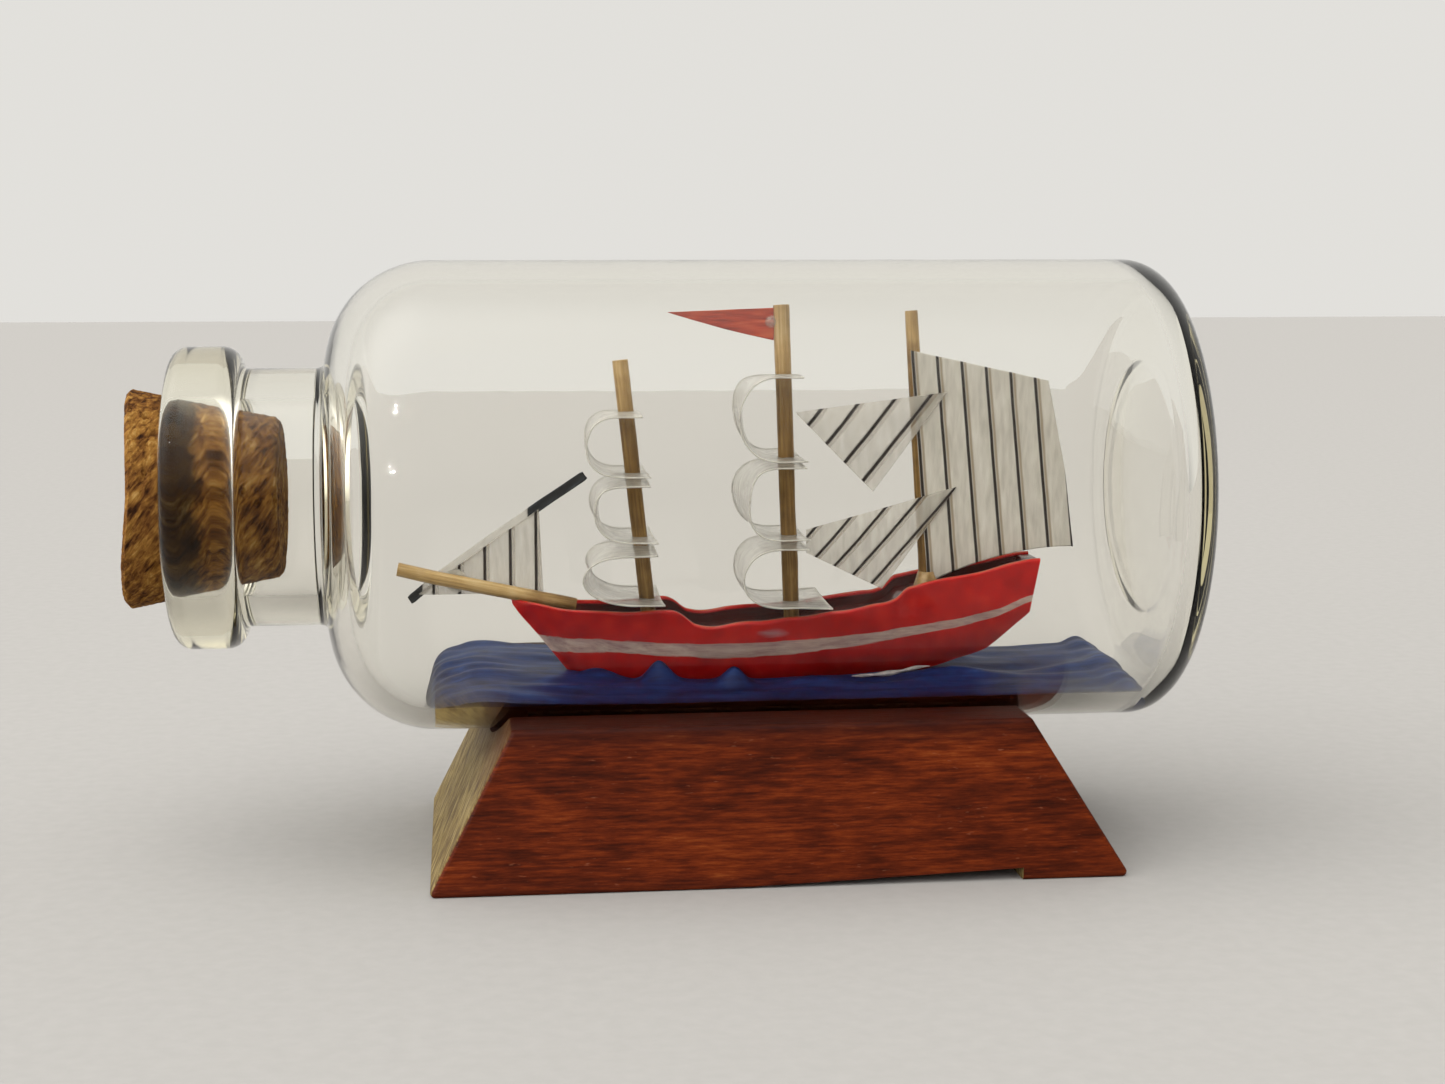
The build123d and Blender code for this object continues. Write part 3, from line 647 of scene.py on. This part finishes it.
def ruled_film(name, spacing, clearness):
    """Milky film with ruled ink lines 0.2 mm wide, one at each whole number of the stripes field."""
    made, tree = new_material(name)
    place = add_node(tree, "TexCoord")
    count = add_node(tree, "Attribute", attribute_name="stripes")
    shaky = add_node(tree, "TexNoise", {"Vector": place.outputs["Object"], "Scale": 500, "Detail": 2})
    shake = add_node(tree, "MapRange", {0: shaky, 1: 0, 2: 1, 3: -0.012, 4: 0.012})
    moved = add_node(tree, "Math", {0: count.outputs["Fac"], 1: shake}, operation="ADD")
    nearest = add_node(tree, "Math", {0: moved}, operation="ROUND")
    off = add_node(tree, "Math", {0: moved, 1: nearest}, operation="SUBTRACT")
    away = add_node(tree, "Math", {0: off}, operation="ABSOLUTE")
    wide = add_node(tree, "MapRange", {0: away, 1: 0.13 / spacing, 2: 0.075 / spacing, 3: 0, 4: 1})
    ruled = add_node(tree, "Attribute", attribute_name="ruled")
    ink = add_node(tree, "Math", {0: wide, 1: ruled.outputs["Fac"]}, operation="MULTIPLY")
    space = add_node(tree, "Mapping", {"Vector": place.outputs["Object"], "Scale": (2600, 2600, 500)})
    mottle = add_node(tree, "TexNoise", {"Vector": space, "Scale": 1, "Detail": 4})
    paper = add_node(tree, "ValToRGB", {"Fac": mottle},
                     [(0.3, "D2CDC2"), (0.52, "E4DFD4"), (0.75, "F2EEE5")])
    # Painted shadow: each ruled line's shadow shows as a thin tan line 0.2 mm to its right.
    shadow_off = add_node(tree, "Math", {0: off, 1: 0.22 / spacing}, operation="SUBTRACT")
    shadow_away = add_node(tree, "Math", {0: shadow_off}, operation="ABSOLUTE")
    shadow_wide = add_node(tree, "MapRange", {0: shadow_away, 1: 0.12 / spacing, 2: 0.05 / spacing, 3: 0,
                                           4: 0.7})
    shadow_line = add_node(tree, "Math", {0: shadow_wide, 1: ruled.outputs["Fac"]}, operation="MULTIPLY")
    shadowed_paper = add_node(tree, "Mix", {0: shadow_line, 6: paper, 7: hex_colour("9C8660")}, data_type="RGBA")
    colour = add_node(tree, "Mix", {0: ink, 6: shadowed_paper.outputs[2], 7: hex_colour("2B211D")},
                      data_type="RGBA")
    alpha = add_node(tree, "MapRange", {0: ink, 1: 0, 2: 1, 3: clearness, 4: 1.0})
    bump = add_node(tree, "Bump", {"Strength": 0.25, "Distance": 0.00005, "Height": mottle})
    shader = add_node(tree, "BsdfPrincipled", {"Base Color": colour.outputs[2], "Roughness": 0.4,
                                               "IOR": 1.48, "Alpha": alpha, "Normal": bump})
    finish_material(tree, shader)
    return made


def flat_sail(name, outline, y, count, spacing, clearness, ruled, bulge):
    """A patch between two edges: outline gives its four sides at across and down, from 0 to 1; count gives
    the ruled line's number at x, z; ruled is 1 where lines are drawn; bulge moves it off its plane."""
    share = np.linspace(0, 1, 110)
    across, down = np.meshgrid(share, share)
    x, z = outline(across, down)
    grid = np.stack([x, y + bulge(across, down), z], axis=-1)
    made = grid_mesh(name + "_film", grid, ruled_film("ruled_film_" + name, spacing, clearness),
                     fields={"stripes": count(x, z), "ruled": ruled(x, z)})
    thicken(made, "film_thickness", film_thick)
    stand_for(made, name)


def patch(near_low, near_high, far_low, far_high):
    """A flat patch between two edges: down runs along each edge, across from the near one to the far."""
    near_top, near_foot, far_top, far_foot = map(np.array, (near_high, near_low, far_high, far_low))

    def outline(across, down):
        near = near_top + (near_foot - near_top) * down[..., None]
        far = far_top + (far_foot - far_top) * down[..., None]
        point = near + (far - near) * across[..., None]
        return point[..., 0], point[..., 1]

    return outline


def between(a, b, c, on_b, on_c, start):
    """Line number of a point from its share of the way from a to b and from a to c."""
    edge = np.array([[b[0] - a[0], c[0] - a[0]], [b[1] - a[1], c[1] - a[1]]])
    inverse = np.linalg.inv(edge)

    def count(x, z):
        share_b = inverse[0, 0] * (x - a[0]) + inverse[0, 1] * (z - a[1])
        share_c = inverse[1, 0] * (x - a[0]) + inverse[1, 1] * (z - a[1])
        return share_b * on_b + share_c * on_c - start

    return count


spanker_head = 32.3


def spanker_outline(across, down):
    """Luff along the mizzenmast, leech in two straight runs, a sloping head and a bowed foot."""
    luff_x = 16.58 + (17.88 - 16.58) * down
    luff_z = spanker_head + (17.0 - spanker_head) * down
    leech_x = np.interp(down, [0, 0.54, 1], [25.74, 27.0, 27.65])
    leech_z = np.interp(down, [0, 0.54, 1], [30.28, 24.3, 19.27])
    foot = 0.62 * down**6 * np.sin(np.pi * across) ** 0.8
    return luff_x + (leech_x - luff_x) * across, luff_z + (leech_z - luff_z) * across + foot


# Gaps between the ruled lines of the spanker and the jib, then the corners of the staysails as (x, z): the
# forward one, the low one and the high one by the mizzenmast.
spanker_spacing = 1.62
jib_spacing = 1.66
upper_stay = ((9.08, 28.35), (14.15, 23.14), (18.98, 29.58))
lower_stay = ((7.96, 19.97), (14.8, 16.72), (19.67, 23.38))
upper_count = between(*upper_stay, 4.25, 4.1, -0.33)
lower_count = between(*lower_stay, 5.5, 4.95, -0.07)


def spanker_count(x, z):
    """Line number across the spanker: the lines lean aft going down, 1.6 mm apart at the head."""
    fall = spanker_head - z
    return (x - 16.69 - fall * 0.086) / (1.594 + 0.003 * fall)


def jib_count(x, z):
    """Line number along the jib: its lines are upright."""
    return (x + 14.35) / jib_spacing


def everywhere(x, z):
    """Lines over the whole film."""
    return np.ones_like(x)


def upper_ruled(x, z):
    """Lines on the upper staysail stop short of both its ends."""
    number = upper_count(x, z)
    return 1.0 * ((number > 0.6) & (number < 4.6))


def belly_out(depth):
    """A shallow bulge towards the near side, none along the edges."""

    def bulge(across, down):
        return -depth * np.sin(np.pi * across) * np.sin(np.pi * down)

    return bulge


def spanker_bulge(across, down):
    """The spanker's free after edge bends away, most at its foot."""
    middle = np.sin(np.pi * across) * np.sin(np.pi * (0.2 + 0.6 * down))
    return across**2 * (0.3 * middle + 0.2 * down)


# How far each film lies from the ship's middle plane: the spanker and staysails on the near side.
spanker_y, staysail_y, jib_y = -0.51, -0.70, 0.65
flat_sail("spanker", spanker_outline, spanker_y, spanker_count, spanker_spacing, 0.93, everywhere,
          spanker_bulge)
flat_sail("upper_staysail", patch((9.08, 28.3), (9.1, 28.35), upper_stay[1], upper_stay[2]), staysail_y,
          upper_count, 1.5, 0.36, upper_ruled, belly_out(0.25))
flat_sail("lower_staysail", patch((9.78, 19.2), (9.78, 20.72), lower_stay[1], lower_stay[2]), staysail_y,
          lower_count, 1.45, 0.45, everywhere, belly_out(0.2))
flat_sail("jib", patch((-15.4, 16.6), (-15.4, 16.66), (-7.25, 16.6), (-7.5, 22.15)), jib_y, jib_count,
          jib_spacing, 0.42, everywhere, belly_out(-0.2))

# ------------------------------------------------------------------ jib stay
# A flat strip of black plastic film laid behind the jib's leading edge, a little longer than the film at
# both ends, that holds the jib out between the foremast and the bowsprit.


def black_strip():
    """Plastic strip, cut with a knife: satin, with faint scratches along it. It is black over its top third
    and its lowest end, and the clear film shows between them."""
    made, tree = new_material("black_plastic_strip")
    place = add_node(tree, "TexCoord")
    turned = add_node(tree, "Mapping", {"Vector": place.outputs["Object"],
                                        "Rotation": (0, math.radians(-35), 0),
                                        "Scale": (0.0025, 0.00025, 0.00025)}, vector_type="TEXTURE")
    scratch = add_node(tree, "TexNoise", {"Vector": turned, "Scale": 1, "Detail": 4})
    tint = add_node(tree, "ValToRGB", {"Fac": scratch},
                    [(0.35, "0C0D0F"), (0.6, "22262B"), (0.75, "4A5058")])
    along = add_node(tree, "SeparateXYZ", {0: place.outputs["Object"]})
    top_part = add_node(tree, "MapRange", {0: along.outputs["X"], 1: -0.0083, 2: -0.0082, 3: 0, 4: 1})
    low_part = add_node(tree, "MapRange", {0: along.outputs["X"], 1: -0.0151, 2: -0.0152, 3: 0, 4: 1})
    black = add_node(tree, "Math", {0: top_part, 1: low_part}, operation="MAXIMUM")
    colour = add_node(tree, "Mix", {0: black, 6: hex_colour("E4E0D6"), 7: tint}, data_type="RGBA")
    alpha = add_node(tree, "MapRange", {0: black, 1: 0, 2: 1, 3: 0.45, 4: 1.0})
    bump = add_node(tree, "Bump", {"Strength": 0.3, "Distance": 0.00005, "Height": scratch})
    shader = add_node(tree, "BsdfPrincipled", {"Base Color": colour.outputs[2], "Roughness": 0.38,
                                               "IOR": 1.5, "Alpha": alpha, "Normal": bump})
    finish_material(tree, shader)
    return made


def strip_piece(name, start, end, width, thick, bow, material):
    """A flat strip from start to end: its rounded rectangular section follows a slightly bowed line."""
    start, end = np.array(start), np.array(end)
    length = np.linalg.norm(end - start)
    way = (end - start) / length
    side = np.array([0.0, 1.0, 0.0])
    third = np.cross(way, side)
    angle = np.linspace(0, 2 * np.pi, 32, endpoint=False) + 0.1
    section_y = thick / 2 * np.sign(np.cos(angle)) * np.abs(np.cos(angle)) ** 0.35
    section_z = width / 2 * np.sign(np.sin(angle)) * np.abs(np.sin(angle)) ** 0.35
    run = np.linspace(0, 1, 60)
    line = start + np.outer(run * length, way) + np.outer(bow * np.sin(np.pi * run), third)
    taper = np.clip(np.minimum(run, 1 - run) / 0.012, 0.86, 1)[:, None, None]
    ring = section_y[:, None] * side + section_z[:, None] * third
    return grid_mesh(name, line[:, None, :] + ring[None] * taper, material, wrap=True, caps=True)


jib_stay = strip_piece("jib_stay_strip", (-16.1, 0.82, 16.2), (-4.5, 0.82, 24.3), 0.62, 0.18, 0.12,
                       black_strip())
stand_for(jib_stay, "jib_stay")

# ------------------------------------------------------------------ pennant
# A long triangle of stiff red card, painted by hand and glued by its short side to the mainmast's top.


def painted_card():
    """Card under thin orange-red paint: matt, with brush streaks along it."""
    made, tree = new_material("painted_card_orange_red")
    place = add_node(tree, "TexCoord")
    streaks = add_node(tree, "Mapping", {"Vector": place.outputs["Object"], "Scale": (500, 4000, 4000)})
    streak = add_node(tree, "TexNoise", {"Vector": streaks, "Scale": 1, "Detail": 5})
    tint = add_node(tree, "ValToRGB", {"Fac": streak},
                    [(0.3, "98270F"), (0.5, "C4401C"), (0.72, "D9653A")])
    bump = add_node(tree, "Bump", {"Strength": 0.3, "Distance": 0.00006, "Height": streak})
    shader = add_node(tree, "BsdfPrincipled", {"Base Color": tint, "Roughness": 0.55, "IOR": 1.47,
                                               "Specular IOR Level": 0.2, "Normal": bump})
    finish_material(tree, shader)
    return made


along, down = np.meshgrid(np.linspace(0, 1, 90), np.linspace(0, 1, 24))
tip, head, foot = np.array([0.8, 34.85]), np.array([7.72, 35.1]), np.array([7.70, 33.0])
far = head + (foot - head) * down[..., None]
flat = tip + (far - tip) * (0.01 + 0.99 * along[..., None])
sag = -0.10 * np.sin(np.pi * along) * down
wave_y = 0.12 * np.sin(2.6 * np.pi * along) * (1 - along)
pennant_grid = np.stack([flat[..., 0], wave_y, flat[..., 1] + sag], axis=-1)
pennant = grid_mesh("pennant_card", pennant_grid, painted_card())
thicken(pennant, "card_thickness", 0.14)
stand_for(pennant, "pennant")

# ------------------------------------------------------------------ bottle
# A machine-made vial of ordinary clear glass: rolled lip, thick uneven neck, round shoulder and a base
# pushed in a little. Thick stretches, such as the base's rim, look yellow-green along their depth.


def clear_glass():
    """Soda-lime glass, IOR 1.52, fire-polished. The volume gives the tint, so only thick glass shows it."""
    made, tree = new_material("soda_lime_glass")
    place = add_node(tree, "TexCoord")
    # Cold moulds leave ripples about 4 mm long and a few hundredths of a millimetre deep.
    ripple = add_node(tree, "TexNoise", {"Vector": place.outputs["Object"], "Scale": 230, "Detail": 2})
    bump = add_node(tree, "Bump", {"Strength": 0.02, "Distance": 0.0003, "Height": ripple})
    shader = add_node(tree, "BsdfPrincipled", {"Base Color": (1.0, 1.0, 1.0, 1.0), "Roughness": 0.0,
                                               "IOR": 1.52, "Transmission Weight": 1.0, "Normal": bump,
                                               "Specular Tint": (0.12, 0.12, 0.12, 1.0)})
    depth = add_node(tree, "VolumeAbsorption", {"Color": hex_colour("E6DDA6"), "Density": 55.0})
    finish_material(tree, shader, depth)
    return made


def rounded_line(corners, steps=14):
    """A line through (x, r, rounding) corners, each corner replaced by an arc of its rounding."""
    points = []
    for i, (x, r, rounding) in enumerate(corners):
        here = np.array([x, r])
        if rounding == 0 or i in (0, len(corners) - 1):
            points.append(here[None])
            continue
        back = np.array(corners[i - 1][:2]) - here
        on = np.array(corners[i + 1][:2]) - here
        back /= np.linalg.norm(back)
        on /= np.linalg.norm(on)
        half = math.acos(np.clip(back @ on, -1, 1)) / 2
        reach = rounding / math.tan(half)
        centre = here + (back + on) / np.linalg.norm(back + on) * rounding / math.sin(half)
        start = here + back * reach - centre
        end = here + on * reach - centre
        sweep = math.atan2(start[0] * end[1] - start[1] * end[0], start @ end)
        turn = np.linspace(0, sweep, steps)[:, None]
        first = math.atan2(start[1], start[0])
        arc = np.concatenate([np.cos(first + turn), np.sin(first + turn)], axis=1)
        points.append(centre + rounding * arc)
    return np.concatenate(points)


mouth_x, base_x = bottle_low[0], bottle_high[0]
bore_r = 6.3
lip_r = 9.6
lip_end = mouth_x + 4.4
shoulder_r = body_r - neck_r
inner_shoulder_r = shoulder_r - wall
floor_x = base_x - 1.5
punt_r = 8.5
punt_depth = 0.9
inner_r = body_r - wall
inner_shoulder_x = shoulder_x - inner_shoulder_r


def shoulder_arc(radius):
    """The quarter arc of a shoulder from neck to body, as points for rounded_line."""
    turn = np.linspace(np.pi, np.pi / 2, 40)[1:-1]
    return [(shoulder_x + radius * math.cos(t), neck_r + radius * math.sin(t), 0) for t in turn]


# The outline runs from the mouth over lip, neck and shoulder to the middle of the base, then back inside.
outside = rounded_line(
    [(mouth_x, bore_r + 1.1, 0), (mouth_x, lip_r, 1.1), (lip_end, lip_r, 1.2), (lip_end, neck_r, 0.35),
     (shoulder_x - shoulder_r, neck_r, 0.6)] + shoulder_arc(shoulder_r)
    + [(shoulder_x, body_r, 0), (base_x, body_r, 2.8), (base_x, punt_r, 0)])
inside = rounded_line(
    [(floor_x, punt_r, 0), (floor_x, inner_r, 1.7), (shoulder_x, inner_r, 0)]
    + shoulder_arc(inner_shoulder_r)[::-1]
    + [(inner_shoulder_x, neck_r, 0), (inner_shoulder_x, bore_r, 0.8), (mouth_x, bore_r, 1.0),
       (mouth_x, bore_r + 1.05, 0)])
punt_in = np.linspace(1, 0, 26)[1:]
punt_rise = punt_depth * (1 - punt_in**2)
punt_outside = np.stack([base_x - punt_rise, punt_r * punt_in], axis=1)
punt_inside = np.stack([floor_x - punt_rise, punt_r * punt_in], axis=1)[::-1]
profile = np.concatenate([outside, punt_outside, punt_inside, inside])
around = np.linspace(0, 2 * np.pi, 224, endpoint=False)
ring = np.stack([np.zeros_like(around), np.cos(around), np.sin(around)], axis=-1)
glass = profile[:, None, 1:] * ring[None] + np.array([0, 0, axis_z])
glass[..., 0] = profile[:, :1]
lump_share = 0.0006
lumps = 1 - lump_share * (1 + np.clip(rough(glass * np.array([0.5, 1, 1]), 9.0, 41), -1, 1))
glass[..., 1:] = (glass[..., 1:] - np.array([0, axis_z])) * lumps[..., None] + np.array([0, axis_z])
bottle = grid_mesh("bottle_glass", np.concatenate([glass, glass[:1]], axis=0), clear_glass(), wrap=True,
                   sharp=80)
stand_for(bottle, "bottle")

# ------------------------------------------------------------------ cork
# A stopper punched from natural cork bark and turned to a taper: soft brown, pitted and cracked along
# the growth layers, and darker in a band just inside the lip of the neck.
cork_low, cork_high = (np.array(corner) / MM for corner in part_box("cork"))


def cork_bark():
    """Natural cork: fibrous brown bark torn into short slanting cracks, dry and matt, with a dark band
    just inside the lip."""
    made, tree = new_material("natural_cork")
    place = add_node(tree, "TexCoord")
    # Fibres are about 0.25 mm wide and 1.2 mm long, slanted across the stopper.
    slant = add_node(tree, "Mapping", {"Vector": place.outputs["Object"],
                                       "Rotation": (0, math.radians(-52), 0),
                                       "Scale": (0.0019, 0.0006, 0.00036)}, vector_type="TEXTURE")
    fibre = add_node(tree, "TexNoise", {"Vector": slant, "Scale": 1, "Detail": 8, "Roughness": 0.7,
                                        "Distortion": 0.35})
    lump = add_node(tree, "TexNoise", {"Vector": place.outputs["Object"], "Scale": 620, "Detail": 5,
                                       "Roughness": 0.6})
    mixed = add_node(tree, "Mix", {0: 0.3, 2: fibre, 3: lump}, data_type="FLOAT")
    bark = add_node(tree, "ValToRGB", {"Fac": mixed},
                    [(0.35, "1C0D05"), (0.42, "4B2C12"), (0.49, "7A5024"), (0.56, "9C7033"),
                     (0.66, "C9A262")])
    parts = add_node(tree, "SeparateXYZ", {0: place.outputs["Object"]})
    ragged = add_node(tree, "Math", {0: lump, 1: 0.0022, 2: parts.outputs["X"]}, operation="MULTIPLY_ADD")
    enter = add_node(tree, "MapRange", {0: ragged, 1: -0.0292, 2: -0.0288, 3: 0, 4: 1})
    leave = add_node(tree, "MapRange", {0: ragged, 1: -0.0270, 2: -0.0276, 3: 0, 4: 1})
    dark_band = add_node(tree, "Math", {0: enter, 1: leave}, operation="MULTIPLY")
    dark_band_share = add_node(tree, "Math", {0: dark_band, 1: 0.8}, operation="MULTIPLY")
    colour = add_node(tree, "Mix", {0: dark_band_share, 6: bark, 7: hex_colour("1C120B")}, data_type="RGBA")
    bump = add_node(tree, "Bump", {"Strength": 0.9, "Distance": 0.00025, "Height": mixed})
    shader = add_node(tree, "BsdfPrincipled", {"Base Color": colour.outputs[2], "Roughness": 0.85,
                                               "IOR": 1.4, "Specular IOR Level": 0.1, "Normal": bump})
    finish_material(tree, shader)
    return made


cork_r = (cork_high[2] - cork_low[2]) / 2
cork_end_r = 5.12
cork_edge = 0.3
cork_gap = 0.03
run = np.linspace(0, 1, 90)
side_x = cork_low[0] + cork_edge + run * (cork_high[0] - cork_low[0] - 2 * cork_edge)
side_r = cork_r + (cork_end_r - cork_r) * run
end_in = np.maximum(np.linspace(0.0, 1, 40), 0.002)
cork_profile = np.concatenate([
    np.stack([0 * end_in + cork_low[0] + cork_gap, (cork_r - cork_edge) * end_in], axis=1),
    np.stack([side_x, side_r], axis=1),
    np.stack([0 * end_in + cork_high[0] - cork_gap, (cork_end_r - cork_edge) * end_in[::-1]], axis=1)])
around = np.linspace(0, 2 * np.pi, 200, endpoint=False)
cork_points = np.stack([cork_profile[:, :1] + 0 * around, cork_profile[:, 1:] * np.cos(around),
                        axis_z + cork_profile[:, 1:] * np.sin(around)], axis=-1)
# Pits about a millimetre apart and up to 0.3 mm deep, over a finer tooth.
pits = np.clip(rough(cork_points, 0.9, 51) - 0.9, 0, 1.2) * 0.28
pits = pits + 0.03 * (1 + np.clip(rough(cork_points, 0.5, 52), -1, 1))
middle = np.array([(cork_low[0] + cork_high[0]) / 2, 0.0, axis_z])
outward = cork_points - middle
outward /= np.linalg.norm(outward, axis=-1, keepdims=True)
cork_points -= outward * pits[..., None]
# The outer end was cut a little aslant: it stands back on its near side and towards the top.
near = np.clip(-cork_points[..., 1] / cork_r, 0, 1)
high = np.clip((cork_points[..., 2] - axis_z) / cork_r + 0.9, 0, 2)
end_share = np.clip((cork_low[0] + 3 - cork_points[..., 0]) / 3, 0, 1)
cork_points[..., 0] += (0.75 * near**1.5 * np.clip(high, 0, 1) + 0.12 * high) * end_share
cork = grid_mesh("cork_stopper", cork_points, cork_bark(), wrap=True, caps=True, sharp=50)
stand_for(cork, "cork", "cork")

# ------------------------------------------------------------------ studio
# A pale table in a soft light tent, and a few far ceiling lamps that only glint; the camera stands a
# little left of and above the bottle.


def pale_table():
    """Matt pale paper sweep with a trace of tooth."""
    made, tree = new_material("pale_paper_sweep")
    place = add_node(tree, "TexCoord")
    tooth = add_node(tree, "TexNoise", {"Vector": place.outputs["Object"], "Scale": 900, "Detail": 3})
    tint = add_node(tree, "ValToRGB", {"Fac": tooth}, [(0.3, "A9A7A5"), (0.7, "ADABA9")])
    shader = add_node(tree, "BsdfPrincipled", {"Base Color": tint, "Roughness": 0.9, "IOR": 1.4})
    finish_material(tree, shader)
    return made


table_line = np.linspace(-900.0, 900.0, 9)
table_x, table_y = np.meshgrid(table_line, table_line)
table_grid = np.stack([table_x, table_y, 0 * table_x], axis=-1)
table = grid_mesh("table", table_grid, pale_table())

world = bpy.data.worlds.new("studio")
bpy.context.scene.world = world
world.use_nodes = True
sky = world.node_tree
sky.nodes.clear()
look = add_node(sky, "TexCoord")
rise = add_node(sky, "SeparateXYZ", {0: look.outputs["Generated"]})
# A light tent: bright wall behind, dim on the camera's side, and one broad soft lamp high on the left.
lift = add_node(sky, "Math", {0: rise.outputs["Z"], 1: 0.8, 2: rise.outputs["Y"]},
                operation="MULTIPLY_ADD")
tent = add_node(sky, "MapRange", {0: lift, 1: -0.6, 2: 0.45, 3: 0.26, 4: 0.76},
                interpolation_type="SMOOTHSTEP")
toward = add_node(sky, "VectorMath", {0: look.outputs["Generated"], 1: (-0.48, -0.42, 0.77)},
                  operation="DOT_PRODUCT")
lamp_glow = add_node(sky, "MapRange", {0: toward.outputs["Value"], 1: 0.45, 2: 1.0, 3: 0.0, 4: 2.4},
                     interpolation_type="SMOOTHSTEP")
strength = add_node(sky, "Math", {0: tent, 1: lamp_glow}, operation="ADD")
glow = add_node(sky, "Background", {"Color": hex_colour("FFFDF8"), "Strength": strength})
add_node(sky, "OutputWorld", {"Surface": glow})
bpy.context.scene.view_settings.view_transform = "Standard"


def spark(name, place, size, power):
    """A small lamp far off to the left, seen only as a glint in gloss and glass."""
    light = bpy.data.lights.new(name, "AREA")
    light.shape = "DISK"
    light.size = size * MM
    light.energy = power
    light.cycles.max_bounces = 1
    lamp = bpy.data.objects.new(name, light)
    lamp.location = np.array(place) * MM
    lamp.rotation_euler = (-mathutils.Vector(place)).to_track_quat("-Z", "Y").to_euler()
    lamp.visible_diffuse = False
    lamp.visible_transmission = False
    bpy.context.collection.objects.link(lamp)


# Two groups of ceiling lamps about half a metre away, each lamp 9 mm wide.
for group, (x, y, z) in enumerate(((-314, -232, 366), (-361, -347, 171))):
    for lamp_number, (aside, rise_by) in enumerate(((0, 0), (24, 16), (40, -10), (14, -24), (52, 22))):
        spark(f"far_lamp_{group}_{lamp_number}", (x + aside * 0.6, y - aside * 0.8, z + rise_by), 9, 0.4)

# A 57 mm lens 150 mm from the middle of the bottle, turned 6.5 degrees and tipped 7.7 degrees down.
camera_data = bpy.data.cameras.new("camera")
camera_data.sensor_width = 36.0
camera_data.lens = 57.3
camera_data.clip_start = 0.005
camera = bpy.data.objects.new("camera", camera_data)
bpy.context.collection.objects.link(camera)
target = np.array([4.43, 0.0, 19.88])
yaw, pitch, distance = math.radians(6.5), math.radians(7.7), 150.2
forward = np.array([math.sin(yaw) * math.cos(pitch), math.cos(yaw) * math.cos(pitch), -math.sin(pitch)])
camera.location = (target - forward * distance) * MM
camera.rotation_euler = mathutils.Vector(forward).to_track_quat("-Z", "Y").to_euler()
bpy.context.scene.camera = camera
